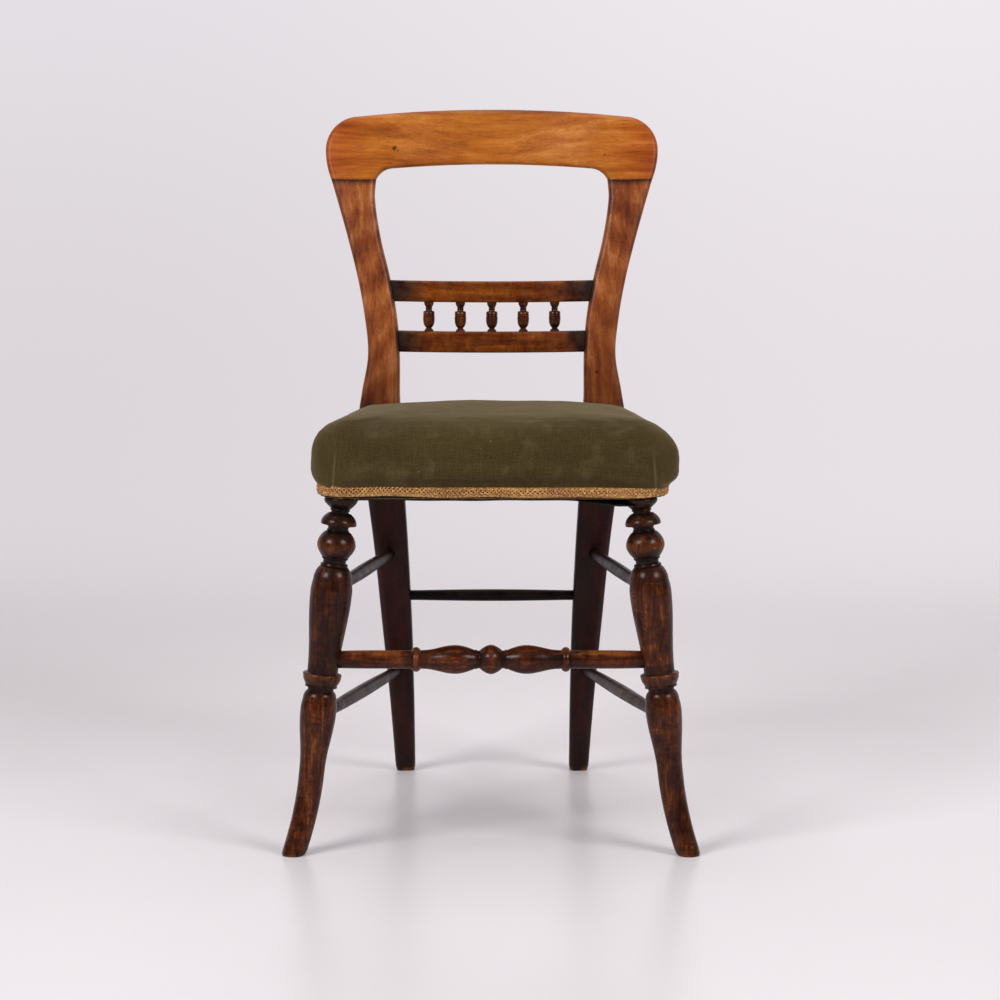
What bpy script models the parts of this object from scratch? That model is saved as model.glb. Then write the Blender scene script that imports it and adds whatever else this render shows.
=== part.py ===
"""A Victorian side chair: turned splayed front legs, sabre rear legs, a yoke back and a stuffed-over seat.

Metres, +Z up. The sitter faces -Y. Within the model y is 0 at the front face of the back posts where
they meet the seat, and the whole chair is then set back so that its depth is centred on the origin.
"""

import math

import bpy
import bmesh
from mathutils import Vector

# Gap left between fitted surfaces
FIT = 0.0003

# Whole chair
CHAIR_HEIGHT = 0.860
SEAT_FRAME_DEPTH = 0.366

# Seat frame, a trapezoid narrowing to the back
RAIL_UNDERSIDE = 0.413
RAIL_HEIGHT = 0.041
FRONT_HALF_WIDTH = 0.199
REAR_HALF_WIDTH = 0.160
FRONT_RAIL_THICKNESS = 0.046
SIDE_RAIL_THICKNESS = 0.026
REAR_RAIL_THICKNESS = 0.024
SEAT_CORNER_RADIUS = 0.040
SEAT_TENON_LENGTH = 0.012
SEAT_TENON_THICKNESS = 0.009
SEAT_TENON_SHOULDER = 0.007
GLUE_BLOCK_LEG = 0.042
GLUE_BLOCK_HEIGHT = 0.026

# Back posts, each one piece with its rear leg
FOOT_KICK = 0.090
LEG_SWEEP = 1.8
BACK_LEAN = 0.066
LEAN_SWEEP = 1.7
POST_FOOT_THICKNESS = 0.025
POST_SEAT_THICKNESS = 0.031
POST_TOP_THICKNESS = 0.023
POST_ARRIS = 0.0055
SHOULDER_ABOVE_RAIL = 0.021

# Outer and inner half widths of the posts at stations. Below, a station is a share of the height from
# the floor to the seat rail; above, a share of the height from the seat shoulder to the crest joint.
LEG_STATIONS = (
    (0.00, 0.1262, 0.1010),
    (0.25, 0.1326, 0.1011),
    (0.50, 0.1412, 0.1028),
    (0.75, 0.1503, 0.1070),
    (1.00, 0.1625, 0.1128),
)
BACK_STATIONS = (
    (0.00, 0.1678, 0.1152),
    (0.10, 0.1640, 0.1162),
    (0.26, 0.1562, 0.1164),
    (0.42, 0.1603, 0.1198),
    (0.59, 0.1695, 0.1290),
    (0.76, 0.1823, 0.1410),
    (0.92, 0.1958, 0.1480),
)

# Crest rail
CREST_DROP = 0.089
CREST_HALF_WIDTH = 0.2105
CREST_SHOULDER_DROP = 0.051
CREST_OUTER_RADIUS = 0.042
CREST_FLANK_RADIUS = 0.096
CREST_UNDERSIDE_DROP = 0.0695
CREST_INNER_RADIUS = 0.025
CREST_INNER_CENTRE = 0.124
CREST_INNER_RISE = 0.005
CREST_BOW = 0.020
DOWEL_DIAMETER = 0.008
DOWEL_LENGTH = 0.034
DOWEL_SPACING = 0.026

# Cross rails and the spindles between them
UPPER_RAIL_MIDDLE = 0.632
LOWER_RAIL_MIDDLE = 0.5688
CROSS_RAIL_HEIGHT = 0.0264
CROSS_RAIL_THICKNESS = 0.016
CROSS_RAIL_ARRIS = 0.003
CROSS_RAIL_DIP = 0.002
CROSS_RAIL_BOW = 0.012
CROSS_RAIL_SETBACK = 0.004
CROSS_TENON_LENGTH = 0.012
CROSS_TENON_SHOULDER = 0.004
SPINDLE_COUNT = 5
SPINDLE_PITCH = 0.0398
SPINDLE_DIAMETER = 0.0148
SPINDLE_NECK = 0.0076
SPINDLE_PIN_DIAMETER = 0.005
SPINDLE_PIN_LENGTH = 0.005

# Front legs, turned and then bent outwards and forwards at the foot
LEG_TOP_HALF_SPREAD = 0.1702
LEG_TOP_SETBACK = 0.0235
LEG_SPLAY = 0.114
LEG_RAKE = 0.020
LEG_FLARE = 0.0105
LEG_FLARE_HEIGHT = 0.090
LEG_CUP_DIAMETER = 0.0385
LEG_NECK_DIAMETER = 0.0200
LEG_BELL_DIAMETER = 0.0412
LEG_BALL_DIAMETER = 0.0443
LEG_VASE_DIAMETER = 0.0480
LEG_WAIST_DIAMETER = 0.0352
LEG_COLLAR_DIAMETER = 0.0446
LEG_CALF_DIAMETER = 0.0425
LEG_ANKLE_DIAMETER = 0.0302
LEG_FOOT_DIAMETER = 0.0274
LEG_PIN_DIAMETER = 0.018
LEG_PIN_LENGTH = 0.036
LEG_LEVELLING = 0.014

# Stretchers, each running to the middle of the legs it joins
FRONT_STRETCHER_HEIGHT = 0.2255
FRONT_STRETCHER_ROD = 0.0212
FRONT_STRETCHER_BULB = 0.0332
FRONT_STRETCHER_BALL = 0.0339
FRONT_STRETCHER_RING = 0.0286
FRONT_STRETCHER_NECK = 0.0206
FRONT_STRETCHER_END = 0.0180
SIDE_STRETCHER_MIDDLE = 0.0165
SIDE_STRETCHER_END = 0.0120
UPPER_SIDE_FRONT_HEIGHT = 0.3045
UPPER_SIDE_REAR_HEIGHT = 0.2980
LOWER_SIDE_FRONT_HEIGHT = 0.1585
LOWER_SIDE_REAR_HEIGHT = 0.1420
REAR_STRETCHER_HEIGHT = 0.2416
REAR_STRETCHER_MIDDLE = 0.0152
REAR_STRETCHER_END = 0.0125
SOCKET_DEPTH = 0.014

# Webbing, hessian, stuffing, cover, braid and bottom cloth
STRAP_WIDTH = 0.050
STRAP_THICKNESS = 0.0016
STRAP_COUNT = 3
LONG_STRAP_PITCH = FRONT_HALF_WIDTH * 0.40
CROSS_STRAP_PITCH = SEAT_FRAME_DEPTH / 3.5
STRAP_RAMP = 0.010
STRAP_INSET = 0.008
HESSIAN_THICKNESS = 0.0008
COVER_THICKNESS = 0.0024
PAD_CLEARANCE = 0.0008
HEM_ABOVE_RAIL = 0.0015
ROLL_OVERHANG = 0.0100
CROWN_RISE = 0.0505
SEAT_REAR_DROP = 0.014
GIMP_WIDTH = 0.0117
GIMP_THICKNESS = 0.0018
BOTTOM_CLOTH_THICKNESS = 0.0008
BOTTOM_CLOTH_INSET = 0.006

# Facets round a turned piece
LEG_SIDES = 14
STRETCHER_SIDES = 12
ROD_SIDES = 10
SPINDLE_SIDES = 8
PIN_SIDES = 8

# A turner's cut shorter than this is drawn with fewer facets
SHORT_CUT = 0.016

RAIL_TOP = RAIL_UNDERSIDE + RAIL_HEIGHT
JOINT_HEIGHT = CHAIR_HEIGHT - CREST_DROP
SHOULDER_HEIGHT = RAIL_TOP + SHOULDER_ABOVE_RAIL
CANVAS_TOP = RAIL_TOP + 2 * STRAP_THICKNESS + HESSIAN_THICKNESS + 3 * FIT
PAD_BOTTOM = CANVAS_TOP + FIT
HEM_HEIGHT = RAIL_UNDERSIDE + HEM_ABOVE_RAIL
FRONT_FACE = -SEAT_FRAME_DEPTH
SEAT_MIDDLE = FRONT_FACE / 2
REACH_FORWARD = SEAT_FRAME_DEPTH + ROLL_OVERHANG + COVER_THICKNESS + PAD_CLEARANCE + 2 * FIT
REACH_BACK = FOOT_KICK + POST_FOOT_THICKNESS
DEPTH_SHIFT = (REACH_FORWARD - REACH_BACK) / 2


def mix(a, b, share):
    return a + (b - a) * share


def smoothstep(low, high, value):
    share = min(1.0, max(0.0, (value - low) / (high - low)))
    return share * share * (3 - 2 * share)


def curve_through(keys, at):
    """A smooth curve through (place, value) keys, read at one place."""
    places = [key[0] for key in keys]
    values = [key[1] for key in keys]
    last = len(keys) - 1
    i = max(0, min(last - 1, sum(place <= at for place in places) - 1))

    def slope(k):
        before, after = max(0, k - 1), min(last, k + 1)
        return (values[after] - values[before]) / (places[after] - places[before])

    width = places[i + 1] - places[i]
    t = (at - places[i]) / width
    return (
        (2 * t**3 - 3 * t**2 + 1) * values[i]
        + (t**3 - 2 * t**2 + t) * width * slope(i)
        + (3 * t**2 - 2 * t**3) * values[i + 1]
        + (t**3 - t**2) * width * slope(i + 1)
    )


# Materials

def wood(name, colour, roughness=0.38):
    return material(name, colour, roughness)


def material(name, colour, roughness, metallic=0.0):
    made = bpy.data.materials.new(name)
    made.use_nodes = True
    shader = made.node_tree.nodes["Principled BSDF"]
    shader.inputs["Base Color"].default_value = (*colour, 1.0)
    shader.inputs["Roughness"].default_value = roughness
    shader.inputs["Metallic"].default_value = metallic
    made.diffuse_color = (*colour, 1.0)
    return made


# Making objects from meshes

def empty_scene():
    for old in list(bpy.data.objects):
        bpy.data.objects.remove(old, do_unlink=True)


def add_object(name, bm, finish=None, sharp=0.6):
    """A named object from a bmesh, shaded smooth but for its sharp edges, under the chair's empty."""
    bmesh.ops.recalc_face_normals(bm, faces=bm.faces)
    mesh = bpy.data.meshes.new(name)
    bm.to_mesh(mesh)
    bm.free()
    mesh.shade_smooth()
    mesh.set_sharp_from_angle(angle=sharp)
    made = bpy.data.objects.new(name, mesh)
    bpy.context.scene.collection.objects.link(made)
    made.parent = bpy.data.objects["chair_placement"]
    if finish is not None:
        mesh.materials.append(finish)
    return made


def add_cutter(name, bm):
    cutter = add_object(name, bm)
    cutter.hide_render = True
    cutter.display_type = "WIRE"
    return cutter


def cut(piece, cutter):
    step = piece.modifiers.new(cutter.name, "BOOLEAN")
    step.operation = "DIFFERENCE"
    step.object = cutter
    return piece


def join_into(bm, other):
    """Adds another bmesh's shape to this one, for a cutter of several separate parts."""
    carrier = bpy.data.meshes.new("carrier")
    other.to_mesh(carrier)
    other.free()
    bm.from_mesh(carrier)
    bpy.data.meshes.remove(carrier)


def loft(sections):
    """A closed solid through rings of as many points each, its two end rings filled."""
    bm = bmesh.new()
    rings = [[bm.verts.new(point) for point in section] for section in sections]
    count = len(rings[0])
    for ring, following in zip(rings, rings[1:]):
        for i in range(count):
            j = (i + 1) % count
            bm.faces.new((ring[i], ring[j], following[j], following[i]))
    bm.faces.new(rings[0][::-1])
    bm.faces.new(rings[-1])
    return bm


def lathe(profile, sides):
    """A closed turned solid about Z from (distance, radius) pairs."""
    bm = bmesh.new()
    verts = [bm.verts.new((radius, 0, distance)) for distance, radius in profile]
    edges = [bm.edges.new(pair) for pair in zip(verts, verts[1:])]
    bmesh.ops.spin(
        bm, geom=verts + edges, cent=(0, 0, 0), axis=(0, 0, 1), angle=2 * math.pi,
        steps=sides, use_merge=True,
    )
    open_edges = [edge for edge in bm.edges if edge.is_boundary]
    bmesh.ops.holes_fill(bm, edges=open_edges)
    return bm


def turning(start_diameter, cuts):
    """The (distance, radius) profile left by a turner's cuts.

    Each cut is (length, diameter reached, shape): a swell bulges out, a cove is hollow, an ogee runs
    from one to the other, and a cone is straight.
    """
    radius = start_diameter / 2
    distance = 0.0
    profile = [(distance, radius)]
    for length, diameter, shape in cuts:
        reached = diameter / 2
        fast = shape == "swell" if reached > radius else shape == "cove"
        steps = 1 if shape == "cone" else 3 if length < SHORT_CUT else 5
        for step in range(1, steps + 1):
            t = step / steps
            if shape == "cone":
                share = t
            elif shape == "ogee":
                share = (1 - math.cos(math.pi * t)) / 2
            elif fast:
                share = math.sin(math.pi * t / 2)
            else:
                share = 1 - math.cos(math.pi * t / 2)
            profile.append((distance + length * t, mix(radius, reached, share)))
        radius = reached
        distance += length
    return profile


def move_along(bm, start, end):
    """Turns a shape made along Z so that it runs from start towards end."""
    turn = (end - start).to_track_quat("Z", "Y").to_matrix().to_4x4()
    turn.translation = start
    bmesh.ops.transform(bm, matrix=turn, verts=bm.verts)
    return bm


def stand_between(bm, low, high):
    """Leans a shape made along Z between two points by shearing it, so that its ends stay level."""
    length = high.z - low.z
    for vert in bm.verts:
        middle = low.lerp(high, vert.co.z / length)
        vert.co = Vector((middle.x + vert.co.x, middle.y + vert.co.y, middle.z))
    return bm


def rod_between(start, end, diameter, sides):
    """A plain cylinder whose flats, not its corners, reach the diameter: the shape of a drilled hole."""
    radius = diameter / 2 / math.cos(math.pi / sides)
    length = (end - start).length
    return move_along(lathe([(0, radius), (length, radius)], sides), start, end)


def rounded_rectangle(width, height, arris):
    """Twelve points round a rectangle centred on 0, with its corners rounded."""
    points = []
    for corner, (sx, sy) in enumerate(((1, 1), (-1, 1), (-1, -1), (1, -1))):
        for step in range(3):
            angle = math.pi / 2 * (corner + step / 2)
            points.append((
                sx * (width / 2 - arris) + arris * math.cos(angle),
                sy * (height / 2 - arris) + arris * math.sin(angle),
            ))
    return points


# The run of the back: where the posts, crest and cross rails stand

def post_face(z):
    """How far back the front face of the post stands at a height."""
    if z < RAIL_TOP:
        return FOOT_KICK * ((RAIL_TOP - z) / RAIL_TOP) ** LEG_SWEEP
    return BACK_LEAN * ((z - RAIL_TOP) / (CHAIR_HEIGHT - RAIL_TOP)) ** LEAN_SWEEP


def post_thickness(z):
    if z < RAIL_TOP:
        return mix(POST_FOOT_THICKNESS, POST_SEAT_THICKNESS, smoothstep(0, RAIL_TOP, z))
    return mix(POST_SEAT_THICKNESS, POST_TOP_THICKNESS, smoothstep(RAIL_TOP, JOINT_HEIGHT, z))


def crest_outer(z):
    """Half width of the crest's flank below its shoulder, an easy curve that ends upright."""
    shoulder = CHAIR_HEIGHT - CREST_SHOULDER_DROP
    return CREST_HALF_WIDTH - (shoulder - z) ** 2 / (2 * CREST_FLANK_RADIUS)


def crest_inner(z):
    """Half width of the round inner corner of the back opening."""
    up = z - (CHAIR_HEIGHT - CREST_UNDERSIDE_DROP - CREST_INNER_RISE - CREST_INNER_RADIUS)
    return CREST_INNER_CENTRE + math.sqrt(max(0.0, CREST_INNER_RADIUS**2 - max(0.0, up) ** 2))


def edge_keys(side):
    """Height and half width keys of the post's outer (1) or inner (2) edge, floor to crest joint."""
    keys = [(row[0] * RAIL_UNDERSIDE, row[side]) for row in LEG_STATIONS]
    keys += [
        (mix(SHOULDER_HEIGHT, JOINT_HEIGHT, row[0]), row[side]) for row in BACK_STATIONS
    ]
    joint = crest_outer(JOINT_HEIGHT) if side == 1 else crest_inner(JOINT_HEIGHT)
    return keys + [(JOINT_HEIGHT, joint)]


OUTER_KEYS = edge_keys(1)
INNER_KEYS = edge_keys(2)


def post_outer(z):
    return curve_through(OUTER_KEYS, z)


def post_inner(z):
    return curve_through(INNER_KEYS, z)


def post_middle(z):
    """The centre of the right post at a height."""
    return Vector((
        (post_outer(z) + post_inner(z)) / 2, post_face(z) + post_thickness(z) / 2, z
    ))


def post_levels():
    """Heights of the post's rings: even below and above, closer where it meets the seat."""
    below = [RAIL_UNDERSIDE * step / 10 for step in range(10)]
    seat = [
        RAIL_UNDERSIDE, mix(RAIL_UNDERSIDE, RAIL_TOP, 0.5), RAIL_TOP,
        mix(RAIL_TOP, SHOULDER_HEIGHT, 0.5), SHOULDER_HEIGHT,
    ]
    above = [mix(SHOULDER_HEIGHT, JOINT_HEIGHT, step / 14) for step in range(1, 15)]
    return below + seat + above


def post_section(z, side):
    wide = post_outer(z) - post_inner(z)
    thick = post_thickness(z)
    centre = post_middle(z)
    return [
        Vector((side * (centre.x + x), centre.y + y, z))
        for x, y in rounded_rectangle(wide, thick, POST_ARRIS)
    ]


# Seat plan

def seat_half_width(y):
    """Half width over the seat rails at a depth."""
    return mix(REAR_HALF_WIDTH, FRONT_HALF_WIDTH, y / FRONT_FACE)


def seat_outline(out=0.0, overhang=0.0):
    """The seat's plan, anticlockwise from the middle of the front, grown outwards by a distance.

    The overhang is added in front and at the sides, and fades to a third of itself at the back.
    """
    taper = math.atan2(FRONT_HALF_WIDTH - REAR_HALF_WIDTH, SEAT_FRAME_DEPTH)
    rear = REAR_RAIL_THICKNESS
    radius = SEAT_CORNER_RADIUS
    centre_y = FRONT_FACE + radius
    centre_x = seat_half_width(centre_y) - radius / math.cos(taper)
    rear_radius = 0.014
    rear_x = seat_half_width(rear - rear_radius) - rear_radius / math.cos(taper)
    right = [(Vector((0, FRONT_FACE)), Vector((0, -1)))]
    right += [
        (Vector((centre_x * step / 4, FRONT_FACE)), Vector((0, -1))) for step in (1, 2, 3)
    ]
    for step in range(7):
        angle = -math.pi / 2 + (math.pi / 2 + taper) * step / 6
        normal = Vector((math.cos(angle), math.sin(angle)))
        right.append((Vector((centre_x, centre_y)) + radius * normal, normal))
    side_normal = Vector((math.cos(taper), math.sin(taper)))
    last_front = right[-1][0]
    first_rear = Vector((rear_x, rear - rear_radius)) + rear_radius * side_normal
    right += [(last_front.lerp(first_rear, step / 5), side_normal) for step in range(1, 5)]
    for step in range(3):
        angle = taper + (math.pi / 2 - taper) * step / 2
        normal = Vector((math.cos(angle), math.sin(angle)))
        right.append((Vector((rear_x, rear - rear_radius)) + rear_radius * normal, normal))
    right += [(Vector((rear_x * step / 3, rear)), Vector((0, 1))) for step in (2, 1)]
    middle = [(Vector((0, rear)), Vector((0, 1)))]
    left = [
        (Vector((-point.x, point.y)), Vector((-normal.x, normal.y)))
        for point, normal in reversed(right[1:])
    ]
    return [
        point + normal * (out + overhang * mix(1.0, 0.35, smoothstep(SEAT_MIDDLE, 0, point.y)))
        for point, normal in right + middle + left
    ]


def mirrored(points):
    """The other half of a plan whose right half runs back from the middle of the front."""
    return [Vector((-point.x, point.y)) for point in reversed(points) if point.x > 0]


def right_half_to(outline, y):
    """The right half of a plan from the middle of the front back to a depth, ending on the outline."""
    half = []
    for point in outline:
        if point.y >= y:
            break
        half.append(point)
    last, beyond = half[-1], outline[len(half)]
    return half + [last.lerp(beyond, (y - last.y) / (beyond.y - last.y))]


def at_height(outline, z):
    return [Vector((point.x, point.y, z)) for point in outline]


# Front legs

def leg_axis(z, side=1):
    """The middle of a front leg at a height: it splays out and rakes forward, and flares at the foot."""
    drop = RAIL_UNDERSIDE - z
    flare = LEG_FLARE * max(0.0, 1 - z / LEG_FLARE_HEIGHT) ** 2
    x = LEG_TOP_HALF_SPREAD + LEG_SPLAY * drop + flare
    y = FRONT_FACE + LEG_TOP_SETBACK - LEG_RAKE * drop - flare
    return Vector((side * x, y, z))


def leg_turnings():
    """The front leg as turned, from the underside of the seat rail down, but for the last run."""
    return (
        (0.0125, LEG_NECK_DIAMETER + 0.0035, "swell"),
        (0.0012, LEG_NECK_DIAMETER, "cone"),
        (0.0040, LEG_NECK_DIAMETER, "cone"),
        (0.0118, LEG_BELL_DIAMETER, "swell"),
        (0.0016, LEG_BELL_DIAMETER - 0.0008, "cone"),
        (0.0008, LEG_NECK_DIAMETER + 0.0045, "cone"),
        (0.0095, LEG_NECK_DIAMETER + 0.0035, "cone"),
        (0.0145, LEG_BALL_DIAMETER, "swell"),
        (0.0130, 0.0300, "swell"),
        (0.0030, 0.0300, "cone"),
        (0.0010, 0.0268, "cone"),
        (0.0040, 0.0265, "cone"),
        (0.0010, 0.0310, "cone"),
        (0.0028, 0.0312, "cone"),
        (0.0275, LEG_VASE_DIAMETER, "swell"),
        (0.0935, LEG_WAIST_DIAMETER, "ogee"),
        (0.0010, LEG_COLLAR_DIAMETER, "cone"),
        (0.0025, LEG_COLLAR_DIAMETER, "cone"),
        (0.0098, 0.0372, "swell"),
        (0.0030, 0.0372, "cone"),
        (0.0010, 0.0298, "cone"),
        (0.0036, 0.0298, "cone"),
        (0.0230, LEG_CALF_DIAMETER, "swell"),
        (0.0790, LEG_ANKLE_DIAMETER, "ogee"),
    )


def leg_path(steps=240):
    """Points down the middle of the leg with the distance travelled to each."""
    points = [leg_axis(RAIL_UNDERSIDE - FIT)]
    travelled = [0.0]
    for step in range(1, steps + 1):
        point = leg_axis((RAIL_UNDERSIDE - FIT) * (1 - step / steps))
        travelled.append(travelled[-1] + (point - points[-1]).length)
        points.append(point)
    return points, travelled


def bend_leg(bm, side):
    """Bends a leg turned along Z, its top at 0 and its foot at the path's length, to its curved middle.

    Its top and its foot end level, where they meet the seat rail and the floor.
    """
    points, travelled = leg_path()
    total = travelled[-1]
    for vert in bm.verts:
        distance = min(max(vert.co.z, 0.0), total)
        i = min(len(points) - 2, max(0, sum(reached <= distance for reached in travelled) - 1))
        share = (distance - travelled[i]) / (travelled[i + 1] - travelled[i])
        middle = points[i].lerp(points[i + 1], share)
        along = (points[i + 1] - points[i]).normalized()
        end = min(distance, total - distance)
        down = Vector((0, 0, -1)).lerp(along, smoothstep(0, LEG_LEVELLING, end)).normalized()
        across = Vector((1, 0, 0))
        across = (across - down * across.dot(down)).normalized()
        forward = down.cross(across)
        place = middle + across * vert.co.x + forward * vert.co.y
        vert.co = Vector((side * place.x, place.y, place.z))


def make_front_leg(name, side, finish):
    turnings = leg_turnings()
    done = sum(cut_made[0] for cut_made in turnings)
    total = leg_path()[1][-1]
    worn_edge = 0.003
    run = total - done - worn_edge
    cuts = turnings + (
        (run / 2, mix(LEG_ANKLE_DIAMETER, LEG_FOOT_DIAMETER, 0.6), "cone"),
        (run / 2, LEG_FOOT_DIAMETER, "cone"),
        (worn_edge, LEG_FOOT_DIAMETER - 2 * worn_edge / 2, "cone"),
    )
    bm = lathe(turning(LEG_CUP_DIAMETER, cuts), LEG_SIDES)
    bend_leg(bm, side)
    leg = add_object(name, bm, finish)
    pin_start, pin_end = leg_pin_ends(side)
    pin = add_cutter(name + "_pin", rod_between(pin_start, pin_end, LEG_PIN_DIAMETER, PIN_SIDES + 2))
    step = leg.modifiers.new("pin", "BOOLEAN")
    step.operation = "UNION"
    step.object = pin
    return leg


def leg_pin_ends(side):
    """The leg's pin runs on from inside its cup, along its splay, up into the front rail."""
    low = leg_axis(RAIL_UNDERSIDE - 0.006, side)
    high = leg_axis(RAIL_UNDERSIDE + LEG_PIN_LENGTH, side)
    return low, high


# Stretchers

def side_stretcher_ends(side, upper):
    front_height = UPPER_SIDE_FRONT_HEIGHT if upper else LOWER_SIDE_FRONT_HEIGHT
    rear_height = UPPER_SIDE_REAR_HEIGHT if upper else LOWER_SIDE_REAR_HEIGHT
    rear = post_middle(rear_height)
    return leg_axis(front_height, side), Vector((side * rear.x, rear.y, rear.z))


def front_stretcher_ends():
    return leg_axis(FRONT_STRETCHER_HEIGHT, -1), leg_axis(FRONT_STRETCHER_HEIGHT, 1)


def rear_stretcher_ends():
    z = REAR_STRETCHER_HEIGHT
    half = post_inner(z) + SOCKET_DEPTH
    y = post_middle(z).y
    return Vector((-half, y, z)), Vector((half, y, z))


def make_plain_stretcher(name, ends, middle_diameter, end_diameter, finish):
    """A plain rod, thickest at its middle and drawn in to the size of its sockets."""
    length = (ends[1] - ends[0]).length
    parallel = 0.030
    cuts = (
        (parallel, end_diameter, "cone"),
        (length / 2 - parallel, middle_diameter, "swell"),
        (length / 2 - parallel, end_diameter, "swell"),
        (parallel, end_diameter, "cone"),
    )
    bm = lathe(turning(end_diameter, cuts), ROD_SIDES)
    return add_object(name, move_along(bm, *ends), finish)


def front_stretcher_half():
    """The turnings of the front stretcher from the middle of its ball outwards."""
    return (
        (0.0122, 0.0225, "swell"),
        (0.0010, FRONT_STRETCHER_NECK, "cone"),
        (0.0034, FRONT_STRETCHER_NECK, "cone"),
        (0.0010, 0.0226, "cone"),
        (0.0230, FRONT_STRETCHER_BULB, "swell"),
        (0.0360, 0.0218, "ogee"),
        (0.0034, 0.0214, "cone"),
        (0.0020, FRONT_STRETCHER_RING - 0.0022, "cone"),
        (0.0040, FRONT_STRETCHER_RING, "cone"),
        (0.0040, FRONT_STRETCHER_RING - 0.0030, "cone"),
        (0.0016, 0.0208, "cone"),
    )


def make_front_stretcher(finish):
    left, right = front_stretcher_ends()
    half_length = (right - left).length / 2
    turnings = front_stretcher_half()
    done = sum(cut_made[0] for cut_made in turnings)
    parallel = 0.024
    taper = half_length - done - parallel
    cuts = turnings + (
        (taper * 0.4, FRONT_STRETCHER_ROD, "cone"),
        (taper * 0.6, FRONT_STRETCHER_END, "swell"),
        (parallel, FRONT_STRETCHER_END, "cone"),
    )
    half = turning(FRONT_STRETCHER_BALL, cuts)
    profile = [(half_length - distance, radius) for distance, radius in reversed(half)]
    profile += [(half_length + distance, radius) for distance, radius in half[1:]]
    bm = lathe(profile, STRETCHER_SIDES)
    return add_object("front_stretcher", move_along(bm, left, right), finish)


def socket(start, towards, diameter, sides):
    """A drilled socket whose floor lies just past the end of the rod it takes."""
    along = (towards - start).normalized()
    reach = 0.060
    return rod_between(start - along * FIT, start + along * reach, diameter + 2 * FIT, sides)


def cut_leg_sockets(leg, side):
    upper_front, upper_rear = side_stretcher_ends(side, True)
    lower_front, lower_rear = side_stretcher_ends(side, False)
    left, right = front_stretcher_ends()
    inner, other = (right, left) if side > 0 else (left, right)
    bm = socket(upper_front, upper_rear, SIDE_STRETCHER_END, ROD_SIDES)
    join_into(bm, socket(lower_front, lower_rear, SIDE_STRETCHER_END, ROD_SIDES))
    join_into(bm, socket(inner, other, FRONT_STRETCHER_END, STRETCHER_SIDES))
    cut(leg, add_cutter(leg.name + "_sockets", bm))


# Cross rails of the back

def cross_rail_section(middle_height, x_end, share, height, thickness, arris, side):
    """One upright section of a cross rail. share is 0 in the middle and 1 at the post."""
    dip = CROSS_RAIL_DIP * (1 - share**2)
    bow = CROSS_RAIL_BOW * (1 - share**2)
    section = []
    for up, back in rounded_rectangle(height, thickness, arris):
        z = middle_height - dip + up
        x = (post_inner(z) - FIT) * share + x_end
        y = post_face(z) + CROSS_RAIL_SETBACK + bow + CROSS_RAIL_THICKNESS / 2 + back
        section.append(Vector((side * x, y, z)))
    return section


def cross_tenon_size(grow=0.0):
    height = CROSS_RAIL_HEIGHT - 2 * CROSS_TENON_SHOULDER + 2 * grow
    thickness = CROSS_RAIL_THICKNESS - 2 * CROSS_TENON_SHOULDER + 2 * grow
    return height, thickness, CROSS_RAIL_ARRIS / 2


def make_cross_rail(name, middle_height, finish):
    full = (CROSS_RAIL_HEIGHT, CROSS_RAIL_THICKNESS, CROSS_RAIL_ARRIS)
    tenon = cross_tenon_size()
    half = [
        cross_rail_section(middle_height, CROSS_TENON_LENGTH, 1, *tenon, -1),
        cross_rail_section(middle_height, 0, 1, *tenon, -1),
        cross_rail_section(middle_height, 0, 1, *full, -1),
        cross_rail_section(middle_height, 0, 0.75, *full, -1),
        cross_rail_section(middle_height, 0, 0.5, *full, -1),
        cross_rail_section(middle_height, 0, 0.25, *full, -1),
    ]
    middle = [cross_rail_section(middle_height, 0, 0, *full, 1)]
    other = [[Vector((-p.x, p.y, p.z)) for p in section] for section in reversed(half)]
    return add_object(name, loft(half + middle + other), finish)


def cross_mortise(middle_height, side):
    grown = cross_tenon_size(FIT)
    return loft([
        cross_rail_section(middle_height, -0.010, 1, *grown, side),
        cross_rail_section(middle_height, CROSS_TENON_LENGTH + FIT, 1, *grown, side),
    ])


def spindle_seats(x):
    """Where a spindle stands on the lower rail and meets the upper one, at a distance from the middle."""
    seats = []
    for middle_height, up in ((LOWER_RAIL_MIDDLE, 1), (UPPER_RAIL_MIDDLE, -1)):
        z = middle_height + up * CROSS_RAIL_HEIGHT / 2
        share = x / (post_inner(z) - FIT)
        z -= CROSS_RAIL_DIP * (1 - share**2)
        y = post_face(z) + CROSS_RAIL_SETBACK + CROSS_RAIL_BOW * (1 - share**2)
        seats.append(Vector((x, y + CROSS_RAIL_THICKNESS / 2, z)))
    return seats


def spindle_places():
    first = -(SPINDLE_COUNT - 1) / 2
    return [(first + i) * SPINDLE_PITCH for i in range(SPINDLE_COUNT)]


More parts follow.
